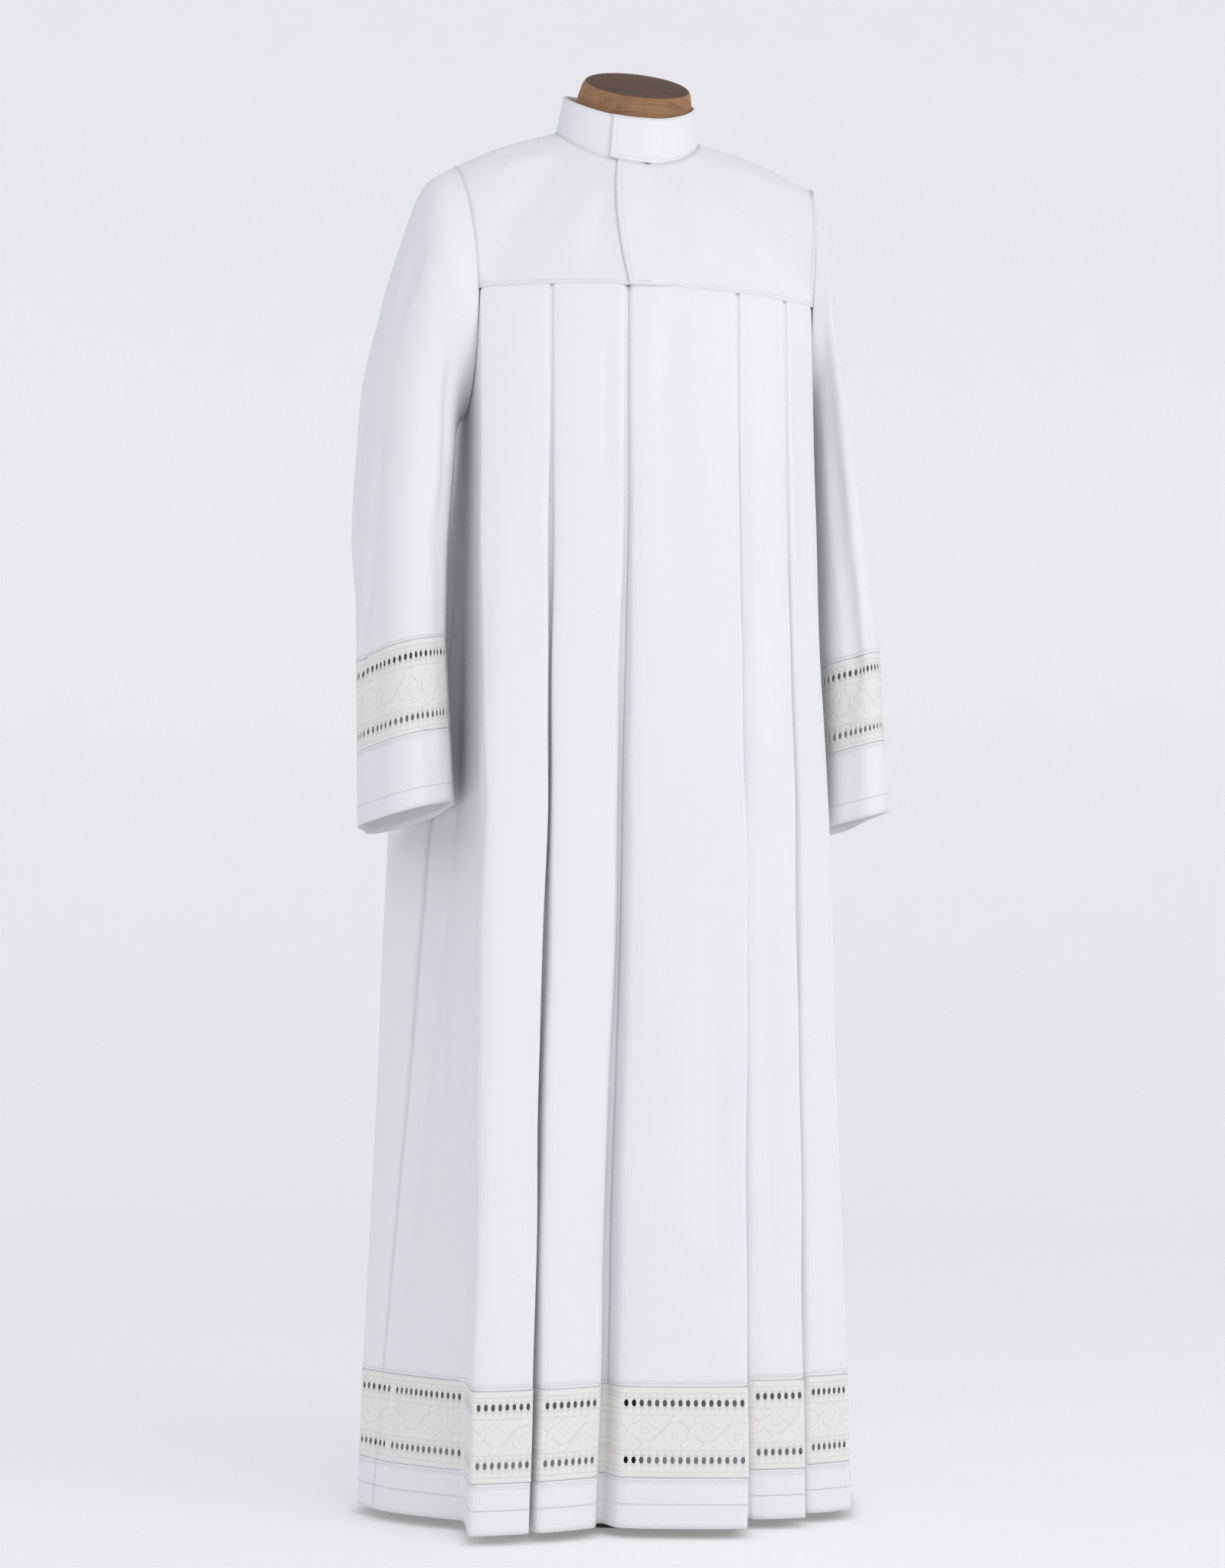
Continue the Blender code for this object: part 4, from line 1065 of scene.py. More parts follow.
def yoke_edge(q):
    """Lower edge of the yoke at station q, with the angle at the neck and the bulge."""
    q = (q + 1) % 8 - 1
    if q > 5:
        mirrored, angle, bulge = yoke_edge(8 - q)
        return Vector((-mirrored.x, mirrored.y, mirrored.z)), 360 - angle, bulge
    if q <= 1:
        x = YOKE_HALF_WIDTH * q
        bulge = FRONT_BULGE[0] + FRONT_BULGE[1] * q * q
        return Vector((x, seam_line(x), YOKE_Z)), STATION_TURN * q, bulge * MM
    if q > 3:
        across = 4 - q
        x = YOKE_HALF_WIDTH * across
        bulge = BACK_BULGE[0] + BACK_BULGE[1] * across * across
        return Vector((x, seam_line(x, True), YOKE_Z)), 180 - STATION_TURN * across, bulge * MM
    back = q > 2
    share = (3 - q) if back else (q - 1)
    turn = math.radians(-ARM_DIP + (90 + ARM_DIP) * share)
    reach = ARM_HALF_DEPTH * math.cos(turn)
    y = ARM_CENTRE_Y + (reach if back else -reach)
    z = ARM_CENTRE_Z + ARM_HALF_HEIGHT * math.sin(turn)
    bulge = SHOULDER_BULGE + (SHOULDER_TO_BACK if back else SHOULDER_TO_FRONT) * (1 - share)
    angle = 90 + (ARM_TURN if back else -ARM_TURN) * (1 - share)
    return Vector((armhole_x(y, z), y, z)), angle, bulge * MM


def yoke_point(q, share):
    """Outer surface of the yoke: share 0 is the neckline, 1 its lower or outer edge."""
    edge, angle, bulge = yoke_edge(q)
    neck = neck_point(angle, NECK_HALF_WIDTH, NECK_FRONT, NECK_BACK, NECK_Z)
    chord = edge - neck
    lean = Vector((edge.x, edge.y, 0.0)).normalized() + Vector((0.0, 0.0, 1.0))
    lean -= chord * lean.dot(chord) / chord.length_squared
    return neck + chord * share + lean.normalized() * bulge * 4 * share * (1 - share)


def yoke_normal(q, share):
    step = 0.01
    low, high = max(0.0, share - step), min(1.0, share + step)
    down = yoke_point(q, high) - yoke_point(q, low)
    round_ = yoke_point(q + step, share) - yoke_point(q - step, share)
    return down.cross(round_).normalized()


def straight_station(x):
    """Stations at the neckline and at the lower edge of a line of constant x."""
    return neck_angle(x) / STATION_TURN, x / YOKE_HALF_WIDTH


def yoke_stations():
    """Pairs of stations of the left front, back and right front."""
    lap = [straight_station(OPENING_X + UNDERLAP * share) for share in (0.0, 0.5, 1.0)]
    left = [0.1, 0.25, 0.4, 0.55, 0.7, 0.85, 1.0] + [1.0 + k / 10 for k in range(1, 11)]
    half = [2.0 + k / 10 for k in range(11)] + [3 + k / 4 for k in (1, 2, 3)]
    back = half + [4.0] + [8.0 - q for q in reversed(half)]
    right = [6.0 + k / 10 for k in range(10)] + [7.0 + k * 0.15 for k in range(5)]
    left, back, right = ([(q, q) for q in stations] for stations in (left, back, right))
    return lap + left, back, right + [(8.0 + a, 8.0 + b) for a, b in lap]


def between(values, parts):
    """The values with evenly spaced ones between them."""
    result = []
    for first, second in zip(values, values[1:]):
        for k in range(parts):
            result.append(first + (second - first) * k / parts)
    result.append(values[-1])
    return result


def yoke_rows(stations, lifts, parts, lines):
    """Rows of points on a piece of the yoke, from its lower edge up to the neckline."""
    near_neck = between([a for a, _ in stations], parts)
    near_edge = between([b for _, b in stations], parts)
    raised = between(lifts, parts)
    rows = []
    for i in range(lines + 1):
        share = 1 - i / lines
        row = []
        for a, b, lift in zip(near_neck, near_edge, raised):
            q = a + (b - a) * share
            row.append(yoke_point(q, share) + yoke_normal(q, share) * lift)
        rows.append(row)
    for point in rows[0]:
        if point.z < YOKE_Z + CLOTH:
            point.z = YOKE_Z + SEAM / 2
    return rows


def softened(rows, passes):
    """Rows of points with the inner ones relaxed, so that no line shows across the cloth."""
    for _ in range(passes):
        relaxed = [list(row) for row in rows]
        for i in range(1, len(rows) - 1):
            for j in range(1, len(rows[i]) - 1):
                beside = rows[i][j - 1] + rows[i][j + 1] + rows[i - 1][j] + rows[i + 1][j]
                relaxed[i][j] = rows[i][j] * 0.4 + beside * 0.15
        rows = relaxed
    return rows


def distances(points):
    """Distances travelled along a list of points."""
    travelled = [0.0]
    for first, second in zip(points, points[1:]):
        travelled.append(travelled[-1] + (second - first).length)
    return travelled


class BuildYoke(bpy.types.Operator):
    """Make the two fronts and the back of the yoke."""

    bl_idname = "alb.yoke"
    bl_label = "Yoke"

    def execute(self, context):
        cloth = cloth_finish("yoke cloth", context.scene.alb_cloth)
        left, back, right = yoke_stations()
        gap = SEAM / NECK_HALF_WIDTH
        left[-1] = (2.0 - gap, 2.0 - gap)
        right[0] = (6.0 + gap, 6.0 + gap)
        back[0] = (2.0 + gap, 2.0 + gap)
        back[-1] = (6.0 - gap, 6.0 - gap)
        lift = CLOTH + REST
        pieces = (
            ("yoke_front_left", left, [lift] * 3 + [0.0] * (len(left) - 3)),
            ("yoke_front_right", right, [0.0] * len(right)),
            ("yoke_back", back, [0.0] * len(back)),
        )
        for node, stations, lifts in pieces:
            rows = softened(yoke_rows(stations, lifts, YOKE_PARTS, YOKE_LINES), YOKE_PASSES)
            across = distances(rows[0])
            up = distances([row[len(row) // 2] for row in rows])
            piece = cloth_piece(node + "_cloth", rows, across, up, cloth,
                                Vector((0.0, 0.0, 1.2)), "yoke")
            declare(["form_torso"], [node])
        return {"FINISHED"}


def collar_rows(lines, count, outside=0.0):
    """Rows of points of the stand collar, from its base to its top."""
    start = neck_angle(OPENING_X - COLLAR_STEP)
    end = 360 + neck_angle(OPENING_X + UNDERLAP)
    base = (NECK_Z[0] + 2 * SEAM, NECK_Z[1] + 2 * SEAM, NECK_Z[2])
    rows = []
    for i in range(lines + 1):
        level = i / lines
        heights = [a + (b - a) * level for a, b in zip(base, COLLAR_Z)]
        row = []
        for j in range(count + 1):
            angle = start + (end - start) * j / count
            past = max(0.0, angle - LAP_ANGLE) / LAP_EASE
            lift = (COLLAR_CLOTH + REST) * max(0.0, 1 - past)
            shift = Vector((-NECK_X * level / 2, 0.0, lift * (1 - level)))
            grow = lift - COLLAR_LEAN * level + outside
            row.append(shift + neck_point(angle, NECK_HALF_WIDTH + grow, NECK_FRONT + grow,
                                          NECK_BACK + grow, heights))
        rows.append(row)
    return rows


class BuildCollar(bpy.types.Operator):
    """Make the stand collar, its left end lapped over its right one."""

    bl_idname = "alb.collar"
    bl_label = "Collar"

    def execute(self, context):
        cloth = cloth_finish("collar cloth", context.scene.alb_cloth)
        middle = Vector((0.0, 0.0, 1.5))
        rows = tucked(collar_rows(COLLAR_LINES, COLLAR_COLUMNS), middle, False)
        up = distances([row[COLLAR_COLUMNS // 2] for row in rows])
        piece = cloth_piece("collar_cloth", rows, distances(rows[0]), up, cloth, middle,
                            thickness=COLLAR_CLOTH - REST / 2)
        declare(["form_neck_block"], ["collar"])
        return {"FINISHED"}


def level_at(share, low):
    def height(top):
        return low + (top - low) * share
    return height


def fixed_level(value):
    def height(_top):
        return value
    return height


class BuildSkirt(bpy.types.Operator):
    """Make the three pleated panels between the yoke and the lace."""

    bl_idname = "alb.skirt"
    bl_label = "Skirt"

    def execute(self, context):
        settings = context.scene.alb_cloth
        cloth = cloth_finish("skirt cloth", settings, (HEM_LACE_Z[1] + TUCK_LENGTH,))
        columns, around = cloth_columns(settings.column)
        bottom = HEM_LACE_Z[1] + SEAM / 2
        shares = [i / settings.rows for i in range(settings.rows + 1)]
        rows = [outline(level_at(share, bottom), columns, 3) for share in shares]
        for point in rows[-1]:
            point.z -= SEAM / 2
        up = [bottom + (YOKE_Z - bottom) * share for share in shares]
        up = [up[0] - TUCK_LENGTH] + up + [up[-1] + TUCK_LENGTH]
        left, right, centre = seam_columns(columns)
        pieces = (
            ("skirt_front_left", centre, left),
            ("skirt_back", left, right),
            ("skirt_front_right", right, centre),
        )
        for node, first, last in pieces:
            part, across, _ = panel(rows, columns, around, first, last)
            axis = Vector((0.0, 0.0, 0.7))
            part = tucked(part, axis, True, lambda p: 1.0 if p.z > YOKE_Z - MM else 0.1)
            part = tucked(part, axis, False)
            piece = cloth_piece(node + "_cloth", part, across, up, cloth, axis, "skirt")
            declare(["form_torso"], [node])
        return {"FINISHED"}


def hole_levels(band, rows, hole_height):
    """Levels of the lace's rows of faces, and the rows that hold holes."""
    half = hole_height / 2
    levels = [band[0] + SEAM / 2, rows[0] - half - 6 * MM, rows[0] - half, rows[0] + half]
    inside = (rows[1] - half) - (rows[0] + half)
    levels += [rows[0] + half + inside * k / 5 for k in (1, 2, 3, 4)]
    levels += [rows[1] - half, rows[1] + half, rows[1] + half + 6 * MM, band[1] - SEAM / 2]
    return levels, (2, 8)


class BuildHem(bpy.types.Operator):
    """Make the openwork band and the plain border at the hem."""

    bl_idname = "alb.hem"
    bl_label = "Hem"

    def execute(self, context):
        settings = context.scene.alb_cloth
        lace = context.scene.alb_lace
        openwork = lace_finish("hem lace", lace, HEM_HOLE_ROWS, HEM_LACE_Z)
        columns, around = lace_columns(lace.pitch, lace.hole_width)
        levels, hole_rows = hole_levels(HEM_LACE_Z, HEM_HOLE_ROWS, lace.hole_height)
        rows = [outline(fixed_level(z), columns, 0) for z in levels]
        left, right, _ = seam_columns(columns)
        for side, first, last in (("back", left, right), ("front", right, left)):
            part, across, picked = panel(rows, columns, around, first, last)
            open_columns = [j for j, c in enumerate(picked[:-1]) if columns[c][4]]
            holes = {(row, j) for row in hole_rows for j in open_columns}
            node = "hem_lace_" + side
            piece = cloth_piece(node + "_openwork", part, across, levels, openwork,
                                Vector((0.0, 0.0, 0.1)), holes=holes, finer=1)
            declare(["skirt_back_cloth"], [node])
        cloth = cloth_finish("hem cloth", settings, (HEM_LACE_Z[0] - TUCK_LENGTH, HEM_Z + HEM_TURN))
        columns, around = cloth_columns(settings.column)
        height = HEM_LACE_Z[0] - SEAM / 2 - HEM_Z
        levels = [HEM_Z + height * k / BAND_LINES for k in range(BAND_LINES + 1)]
        rows = [outline(fixed_level(z), columns, 3) for z in levels]
        left, right, _ = seam_columns(columns)
        axis = Vector((0.0, 0.0, 0.03))
        up = levels + [levels[-1] + TUCK_LENGTH]
        for side, first, last in (("back", left, right), ("front", right, left)):
            part, across, _ = panel(rows, columns, around, first, last)
            part = tucked(part, axis, True)
            node = "hem_band_" + side
            piece = cloth_piece(node + "_cloth", part, across, up, cloth, axis, "skirt",
                                thickness=FACED_CLOTH)
            declare(["hem_lace_" + side + "_openwork"], [node])
        return {"FINISHED"}


def fold_in(angle, share):
    """How far a sleeve's wall is drawn in by its folds, at this angle round it."""
    depth = 0.0
    for centre, deep, wide in SLEEVE_FOLDS:
        away = abs((angle - centre + 180) % 360 - 180) / wide
        if away < 1:
            depth += deep * MM * (math.cos(math.pi * away) + 1) / 2
    return depth * share


def sleeve_ring(side, inner_end, outer_end, half_depth, share, angles):
    """Points of one ring of a sleeve; share is how far down the sleeve it lies."""
    middle = (inner_end + outer_end) / 2
    reach = (outer_end - inner_end) / 2
    across = reach.normalized()
    ring = []
    for angle in angles:
        turn = math.radians(angle)
        drawn = fold_in(angle, share)
        spot = middle + across * (reach.length - drawn) * math.sin(turn)
        spot.y += (half_depth - drawn) * math.cos(turn) + SLEEVE_Y * min(1.0, share * 2)
        ring.append(Vector((side * spot.x, spot.y, spot.z)))
    return ring


def armhole_ring(side, angles):
    """First ring of a sleeve, one seam outside the panels."""
    ring = []
    for angle in angles:
        turn = math.radians(angle)
        y = ARM_CENTRE_Y + ARM_HALF_DEPTH * math.cos(turn)
        z = ARM_CENTRE_Z + ARM_HALF_HEIGHT * math.sin(turn)
        ring.append(Vector((side * (armhole_x(y, z) + 2 * SEAM), y, z)))
    return ring


def level_ring(side, z, angles):
    """Ring of the lace or the cuff at mean height z, tilted like the sleeve's end."""
    inner_top, outer_top, inner_low, outer_low = SLEEVE_ENDS["left" if side > 0 else "right"]
    drop = (SLEEVE_LACE_Z[1] - z) / (SLEEVE_LACE_Z[1] - CUFF_Z)
    inner_x = inner_top + (inner_low - inner_top) * drop
    outer_x = outer_top + (outer_low - outer_top) * drop
    ends = [Vector((x * MM, 0.0, z)) for x in (inner_x, outer_x)]
    ring = sleeve_ring(side, ends[0], ends[1], SLEEVE_HALF_DEPTH, 1.0, angles)
    middle_x = side * (ends[0].x + ends[1].x) / 2
    for point in ring:
        point.z += SLEEVE_TILT * (point.x - middle_x)
    return ring


def along_curve(points, parts):
    """Points on a smooth curve through the given ones."""
    padded = [points[0] * 2 - points[1]] + list(points) + [points[-1] * 2 - points[-2]]
    result = []
    for a, b, c, d in zip(padded, padded[1:], padded[2:], padded[3:]):
        for k in range(parts):
            t = k / parts
            result.append(0.5 * (2 * b + (c - a) * t + (2 * a - 5 * b + 4 * c - d) * t * t
                                 + (3 * b - a - 3 * c + d) * t ** 3))
    result.append(points[-1].copy())
    return result


def sleeve_rows(side, angles, parts):
    """Rows of a sleeve from its lace up to the armhole."""
    label = "left" if side > 0 else "right"
    table = SLEEVE_RINGS[label]
    rings = [armhole_ring(side, angles)]
    for index, (ix, iz, ox, oz, deep) in enumerate(table):
        share = ((index + 1) / (len(table) + 1)) ** 1.5
        ends = [Vector((x * MM, 0.0, z * MM)) for x, z in ((ix, iz), (ox, oz))]
        rings.append(sleeve_ring(side, ends[0], ends[1], deep * MM, share, angles))
    rings.append(level_ring(side, SLEEVE_LACE_Z[1] + SEAM / 2, angles))
    rings.reverse()
    lines = [along_curve([ring[j] for ring in rings], parts) for j in range(len(angles))]
    return [[line[i] for line in lines] for i in range(len(lines[0]))]


class BuildSleeves(bpy.types.Operator):
    """Make both sleeves with their openwork bands and cuffs."""

    bl_idname = "alb.sleeves"
    bl_label = "Sleeves"

    def execute(self, context):
        for side, label in ((-1.0, "right"), (1.0, "left")):
            self.sleeve(context, side, label)
        return {"FINISHED"}

    def sleeve(self, context, side, label):
        settings = context.scene.alb_cloth
        lace = context.scene.alb_lace
        group = label + " sleeve"
        angles = [360 * j / SLEEVE_COLUMNS for j in range(SLEEVE_COLUMNS + 1)]
        inside = Vector((side * 0.245, SLEEVE_Y, 1.05))
        rows = sleeve_rows(side, angles, SLEEVE_PARTS)
        line = [row[SLEEVE_COLUMNS // 4] for row in rows]
        up = [SLEEVE_LACE_Z[1] + d for d in distances(line)]
        up = [up[0] - TUCK_LENGTH] + up + [up[-1] + TUCK_LENGTH]
        across = distances(rows[0])
        # below the yoke the seam allowance reaches further in, behind the panels' side edges
        rows = tucked(rows, Vector((side * 0.24, ARM_CENTRE_Y, ARM_CENTRE_Z)), True,
                      lambda p: 1.0 if p.z > YOKE_Z + 2 * MM else DEEP_TUCK)
        rows = tucked(rows, Vector((side * SLEEVE_X, SLEEVE_Y, SLEEVE_LACE_Z[1])), False)
        cloth = cloth_finish(label + " sleeve cloth", settings, (SLEEVE_LACE_Z[1] + TUCK_LENGTH,))
        piece = cloth_piece("sleeve_" + label + "_cloth", rows, across, up, cloth, inside,
                            group, True)
        declare(["yoke_front_" + label + "_cloth"],
                ["sleeve_" + label])

        reach = (SLEEVE_ENDS[label][1] - SLEEVE_ENDS[label][0]) / 2 * MM
        around = math.pi * (SLEEVE_HALF_DEPTH + reach)
        holes_round = 2 * (int(around / lace.pitch) // 2)
        half = lace.hole_width / 2 / lace.pitch
        marks = [0.0]
        for k in range(holes_round):
            marks += [k + 0.5 - half, k + 0.5 + half]
        marks.append(float(holes_round))
        levels, hole_rows = hole_levels(SLEEVE_LACE_Z, SLEEVE_HOLE_ROWS, lace.hole_height)
        rows = [level_ring(side, z, [360 * mark / holes_round for mark in marks]) for z in levels]
        holes = {(row, 1 + 2 * k) for row in hole_rows for k in range(holes_round)}
        openwork = lace_finish(label + " sleeve lace", lace, SLEEVE_HOLE_ROWS, SLEEVE_LACE_Z)
        across = [mark * lace.pitch for mark in marks]
        piece = cloth_piece("sleeve_lace_" + label + "_openwork", rows, across, levels, openwork,
                            Vector((side * SLEEVE_X, SLEEVE_Y, 0.87)), group, True, holes, None, 1)
        nodes = ["sleeve_lace_" + label + "_front", "sleeve_lace_" + label + "_back"]
        declare(["sleeve_" + label + "_cloth"], nodes)

        height = SLEEVE_LACE_Z[0] - SEAM / 2 - CUFF_Z
        levels = [CUFF_Z + height * k / CUFF_LINES for k in range(CUFF_LINES + 1)]
        rows = [level_ring(side, z, angles) for z in levels]
        for k, row in enumerate(rows):
            for point in row:
                behind = max(0.0, (point.y - SLEEVE_Y) / SLEEVE_HALF_DEPTH)
                point.z -= CUFF_BACK_DROP * (1 - k / CUFF_LINES) * eased(behind)
        seams = (SLEEVE_LACE_Z[0] - TUCK_LENGTH, CUFF_Z + CUFF_TURN)
        cloth = cloth_finish(label + " cuff cloth", settings, seams)
        across = distances(rows[-1])
        middle = Vector((side * SLEEVE_X, SLEEVE_Y, 0.78))
        rows = tucked(rows, middle, True)
        levels.append(levels[-1] + TUCK_LENGTH)
        piece = cloth_piece("cuff_" + label + "_cloth", rows, across, levels, cloth, middle,
                            group, True, thickness=FACED_CLOTH)
        lace_name = "sleeve_lace_" + label + "_openwork"
        declare([lace_name], ["cuff_" + label])


def evenly(points, pitch):
    """Points one pitch apart along a line, each with the way the line runs there."""
    result = []
    left_over = pitch / 2
    for first, second in zip(points, points[1:]):
        way = second - first
        length = way.length
        if length < 1e-6:
            continue
        while left_over <= length:
            result.append((first + way * (left_over / length), way / length))
            left_over += pitch
        left_over -= length
    return result


def lay_stitches(mesh_data, points, outward_of, settings):
    """Lay small rounded stitches along a line of points on the cloth."""
    for point, way in evenly(points, settings.pitch):
        outward = outward_of(point)
        side = outward.cross(way)
        if side.length < 0.2:
            continue
        side.normalize()
        up = way.cross(side).normalized()
        made = bmesh.ops.create_cube(mesh_data, size=1.0)
        for vert in made["verts"]:
            narrow = 0.55 if vert.co.z > 0 else 1.0
            local = (way * vert.co.x * settings.length * narrow + side * vert.co.y * settings.width
                     + up * vert.co.z * settings.width)
            vert.co = point + local


def away_from_axis(point):
    return Vector((point.x, point.y, 0.0)).normalized()


def skirt_lines(heights):
    """Lines round the skirt on its wider faces at the given heights, split into faces."""
    result = []
    for z in heights:
        for index in range(len(FOLDS)):
            fold = FoldAtLevel(index, fixed_level(z))
            line = [fold.point(0, k / 12) for k in range(13)]
            outward = Vector((fold.outward.x, fold.outward.y, 0.0))
            result.append((line, outward))
            if max(fold.fold[12]) == 0:
                step = [fold.point(edge, share) for edge in (2, 3, 4) for share in (0.0, 0.5)]
                step.append(fold.point(4, 1.0))
                way = step[-1] - step[0]
                result.append((step, Vector((way.y, -way.x, 0.0)).normalized()))
    return result


class BuildStitching(bpy.types.Operator):
    """Lay the topstitching on the yoke, collar, hem, sleeves and cuffs."""

    bl_idname = "alb.stitching"
    bl_label = "Stitching"

    def execute(self, context):
        settings = context.scene.alb_stitch
        thread = thread_finish(settings)
        self.yoke(settings, thread)
        self.collar(settings, thread)
        self.hem(settings, thread)
        for side, label in ((-1.0, "right"), (1.0, "left")):
            self.cuff(settings, thread, side, label)
        return {"FINISHED"}

    def finish(self, name, mesh_data, thread):
        new_piece(name, mesh_data, thread)

    def sink(self, point, group):
        """How far the creases lower the cloth, and the stitches with it, at a point."""
        return crease_depth(point, group) * bpy.context.scene.alb_cloth.crease

    def yoke_spot(self, q, share, raised):
        """Point just above the yoke's cloth, its creases counted."""
        normal = yoke_normal(q, share)
        point = yoke_point(q, share) + normal * (raised + STITCH_LIFT)
        return point - normal * self.sink(point, "yoke")

    def yoke(self, settings, thread):
        mesh_data = bmesh.new()
        lift = CLOTH + REST
        lap = OPENING_X / YOKE_HALF_WIDTH
        under = UNDERLAP / YOKE_HALF_WIDTH
        lines = [[lap + 0.03 + (0.97 - lap) * k / 60 for k in range(61)]]
        lines += [[start + 2.0 * k / 80 for k in range(81)] for start in (1.0, 3.0, 5.0)]
        lines.append([7.0 + (0.98 + lap) * k / 60 for k in range(61)])
        for stations in lines:
            spots = []
            for q in stations:
                raised = lift if lap < (q if q < 4 else q - 8) < lap + under else 0.0
                spots.append(self.yoke_spot(q, YOKE_STITCH_SHARE, raised))
            lay_stitches(mesh_data, spots,
                         lambda p: (p - Vector((0.0, 0.0, 1.25))).normalized(), settings)
        neck, edge = straight_station(OPENING_X + STITCH_GAP)
        shares = [0.03 + 0.94 * k / 40 for k in range(41)]
        spots = [self.yoke_spot(neck + (edge - neck) * share, share, lift) for share in shares]
        lay_stitches(mesh_data, spots, lambda p: Vector((0.0, -1.0, 0.3)), settings)
        self.finish("yoke_stitches", mesh_data, thread)

    def collar(self, settings, thread):
        mesh_data = bmesh.new()
        rows = collar_rows(20, COLLAR_COLUMNS, STITCH_LIFT)
        for row in (rows[1], rows[-2]):
            lay_stitches(mesh_data, row, away_from_axis, settings)
        ends = [row[2] for row in rows[1:-1]]
        lay_stitches(mesh_data, ends, away_from_axis, settings)
        self.finish("collar_stitches", mesh_data, thread)

    def hem(self, settings, thread):
        mesh_data = bmesh.new()
        heights = (HEM_LACE_Z[1] + STITCH_GAP, HEM_LACE_Z[0] - STITCH_GAP, HEM_Z + HEM_TURN)
        for line, outward in skirt_lines(heights):
            moved = [point + outward * (STITCH_LIFT - self.sink(point, "skirt"))
                     for point in line]
            lay_stitches(mesh_data, moved, lambda p, way=outward: way, settings)
        self.finish("hem_stitches", mesh_data, thread)

    def cuff(self, settings, thread, side, label):
        mesh_data = bmesh.new()
        angles = [3 * j for j in range(121)]
        middle = Vector((side * SLEEVE_X, SLEEVE_Y, 0.0))

        def outward_of(point):
            return away_from_axis(point - middle)

        for z in (SLEEVE_LACE_Z[0] - STITCH_GAP, CUFF_Z + CUFF_TURN):
            spots = []
            for point in level_ring(side, z, angles):
                depth = self.sink(point, label + " sleeve")
                spots.append(point + outward_of(point) * (STITCH_LIFT - depth))
            lay_stitches(mesh_data, spots, outward_of, settings)
        self.finish("cuff_" + label + "_stitches", mesh_data, thread)


class BuildForm(bpy.types.Operator):
    """Make the neck block and finish the torso, pole and foot."""

    bl_idname = "alb.form"
    bl_label = "Dress form"

    def execute(self, context):
        settings = context.scene.alb_form
        wood = wood_finish("neck block wood", colour_of(settings.wood), colour_of(settings.grain))
        # painted shade: the top cap gets a dark copy of the wood, standing in for the shade on the top
        # face
        shaded_top_wood = wood_finish("neck block top painted shade", colour_of(settings.top), colour_of(settings.grain))
        plane_z = (NECK_Z[0] + NECK_Z[1]) / 2
        plane_slope = (NECK_Z[1] - NECK_Z[0]) / (NECK_FRONT + NECK_BACK)
        mesh_data, where = grid(BLOCK_COLUMNS + 1, len(BLOCK_RINGS))
        for vert, (i, j) in where.items():
            level, narrower, shift = BLOCK_RINGS[i]
            turn = 2 * math.pi * (j % BLOCK_COLUMNS) / BLOCK_COLUMNS
            y = -(BLOCK_HALF_DEPTH - narrower * MM / 3) * math.cos(turn)
            x = (BLOCK_HALF_WIDTH - narrower * MM) * math.sin(turn) + shift * MM
            low = plane_z - plane_slope * BLOCK_HALF_DEPTH * math.cos(turn) + REST
            high = BLOCK_TOP_Z + BLOCK_SLOPE * y
            vert.co = (x, y, low + (high - low) * level)
        bmesh.ops.remove_doubles(mesh_data, verts=mesh_data.verts, dist=SAME_SPOT)
        caps = bmesh.ops.holes_fill(mesh_data, edges=mesh_data.edges, sides=0)["faces"]
        bmesh.ops.recalc_face_normals(mesh_data, faces=mesh_data.faces)
        rims = []
        for cap in caps:
            if cap.normal.z > 0:
                # the top cap takes the painted-shade copy of the wood
                cap.material_index = 1
                rims = list(cap.edges)
        bmesh.ops.bevel(mesh_data, geom=rims, offset=2.5 * MM, affect="EDGES", segments=4, profile=0.5,
                        material=-1)
        block = new_piece("neck_block_wood", mesh_data, wood)
        block.data.materials.append(shaded_top_wood)
        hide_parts("form_neck_block")
        body = wood_finish("torso papier mache", TORSO_LIGHT, TORSO_DARK)
        paint = paint_finish(colour_of(settings.paint))
        for node, surface in (("form_torso", body), ("form_pole", paint), ("form_foot", paint)):
            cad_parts[node].material_slots[0].material = surface
        return {"FINISHED"}


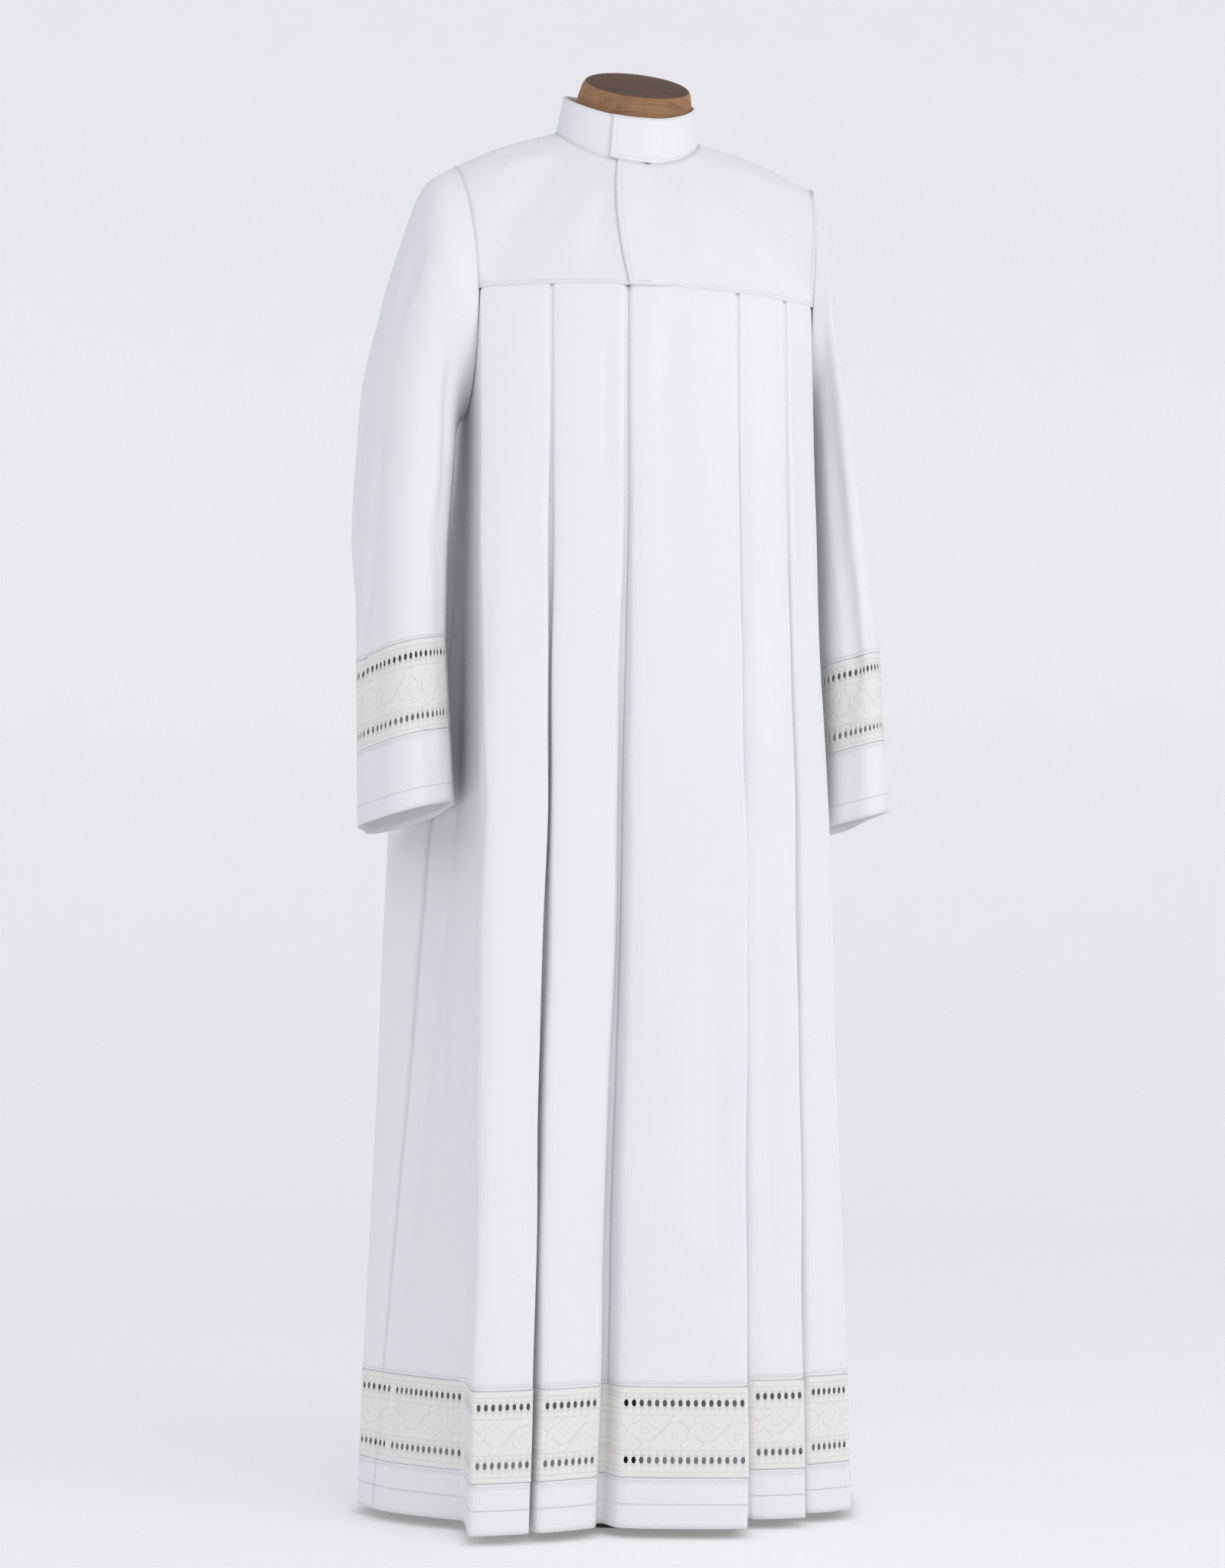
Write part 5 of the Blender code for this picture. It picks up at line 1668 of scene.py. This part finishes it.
class BuildStage(bpy.types.Operator):
    """Make the floor, the lights and the camera."""

    bl_idname = "alb.stage"
    bl_label = "Stage"

    def execute(self, context):
        settings = context.scene.alb_stage
        self.floor(settings)
        self.lights(context, settings)
        self.camera(context, settings)
        return {"FINISHED"}

    def floor(self, settings):
        finish = Finish("pale floor")
        dust = finish.noise(finish.place(), 3.0, 2.0)
        light, dark = colour_of(settings.floor), colour_of(settings.floor, 0.985)
        pale = finish.complete({
            "Base Color": finish.mix(dust, light, dark), "Roughness": 0.9,
            "Emission Color": (1.0, 1.0, 1.0, 1.0), "Emission Strength": settings.glow})
        mesh_data = bmesh.new()
        profile = [(0.0, 0.0), (FLOOR_REACH, 0.0)]
        for k in range(1, 13):
            turn = math.radians(90 * k / 12)
            profile.append((FLOOR_REACH + FLOOR_CURVE * math.sin(turn),
                            FLOOR_CURVE - FLOOR_CURVE * math.cos(turn)))
        profile.append((FLOOR_REACH + FLOOR_CURVE, FLOOR_REACH))
        verts = [mesh_data.verts.new((x, 0.0, z)) for x, z in profile]
        edges = [mesh_data.edges.new(pair) for pair in zip(verts, verts[1:])]
        bmesh.ops.spin(mesh_data, geom=verts + edges, cent=(0.0, 0.0, 0.0), axis=(0.0, 0.0, 1.0),
                       angle=2 * math.pi, steps=96, use_merge=True)
        bmesh.ops.remove_doubles(mesh_data, verts=mesh_data.verts, dist=0.1 * MM)
        bmesh.ops.recalc_face_normals(mesh_data, faces=mesh_data.faces)
        if sum(face.normal.z for face in mesh_data.faces) < 0:
            bmesh.ops.reverse_faces(mesh_data, faces=mesh_data.faces)
        smooth_object("studio_floor", mesh_data, pale)

    def lights(self, context, settings):
        lamps = (
            # name, degrees round from the front, degrees up, size, power, colour
            ("key", 35, 25, 2.0, settings.key, (1.0, 1.0, 0.94)),
            ("front", 5, 25, 2.0, settings.fill, (1.0, 1.0, 0.94)),
            ("top", 5, 60, 2.0, settings.key * 0.25, (0.98, 0.99, 1.0)),
        )
        aim = Vector((0.0, 0.0, 0.85))
        for name, around, above, size, power, colour in lamps:
            data = bpy.data.lights.new(name, "AREA")
            data.shape = "RECTANGLE"
            data.size = size
            data.size_y = size
            data.energy = power
            data.color = colour
            turn, rise = math.radians(around), math.radians(above)
            way = Vector((math.sin(turn) * math.cos(rise), -math.cos(turn) * math.cos(rise),
                          math.sin(rise)))
            lamp = bpy.data.objects.new(name, data)
            lamp.location = aim + way * LAMP_DISTANCE
            lamp.rotation_euler = way.to_track_quat("Z", "Y").to_euler()
            context.scene.collection.objects.link(lamp)
        world = bpy.data.worlds.new("room")
        world.use_nodes = True
        background = world.node_tree.nodes["Background"]
        background.inputs["Color"].default_value = (0.90, 0.91, 1.0, 1.0)
        background.inputs["Strength"].default_value = settings.sky
        context.scene.world = world
        context.scene.view_settings.view_transform = "Standard"

    def camera(self, context, settings):
        data = bpy.data.cameras.new("camera")
        data.sensor_fit = "VERTICAL"
        data.sensor_height = 36.0
        data.sensor_width = 36.0
        data.lens = settings.lens
        data.shift_x = -24.5 / 2048
        camera = bpy.data.objects.new("camera", data)
        camera.location = (math.sin(settings.azimuth) * settings.distance,
                           NECK_Y - math.cos(settings.azimuth) * settings.distance, settings.height)
        camera.rotation_euler = (math.radians(90) + settings.pitch, 0.0, settings.azimuth)
        context.scene.collection.objects.link(camera)
        context.scene.camera = camera


class AlbPanel(bpy.types.Panel):
    """Buttons for the pieces and the stage."""

    bl_label = "Alb"
    bl_idname = "VIEW3D_PT_alb"
    bl_space_type = "VIEW_3D"
    bl_region_type = "UI"
    bl_category = "Alb"

    def draw(self, context):
        layout = self.layout
        for operator in OPERATORS:
            layout.operator(operator.bl_idname)
        for group in GROUPS:
            box = layout.box()
            values = getattr(context.scene, group)
            for name in values.bl_rna.properties.keys():
                if name not in ("rna_type", "name"):
                    box.prop(values, name)


GROUPS = {
    "alb_cloth": ClothSettings,
    "alb_lace": LaceSettings,
    "alb_stitch": StitchSettings,
    "alb_form": FormSettings,
    "alb_stage": StageSettings,
}
OPERATORS = (
    BuildYoke,
    BuildCollar,
    BuildSkirt,
    BuildHem,
    BuildSleeves,
    BuildStitching,
    BuildForm,
    BuildStage,
)


def register():
    for item in (*GROUPS.values(), *OPERATORS, AlbPanel):
        bpy.utils.register_class(item)
    for name, group in GROUPS.items():
        setattr(bpy.types.Scene, name, PointerProperty(type=group))


def unregister():
    for name in GROUPS:
        delattr(bpy.types.Scene, name)
    for item in (AlbPanel, *reversed(OPERATORS), *reversed(tuple(GROUPS.values()))):
        bpy.utils.unregister_class(item)


def main():
    register()
    bpy.ops.alb.yoke()
    bpy.ops.alb.collar()
    bpy.ops.alb.skirt()
    bpy.ops.alb.hem()
    bpy.ops.alb.sleeves()
    bpy.ops.alb.stitching()
    bpy.ops.alb.form()
    bpy.ops.alb.stage()


if __name__ == "__main__":
    main()
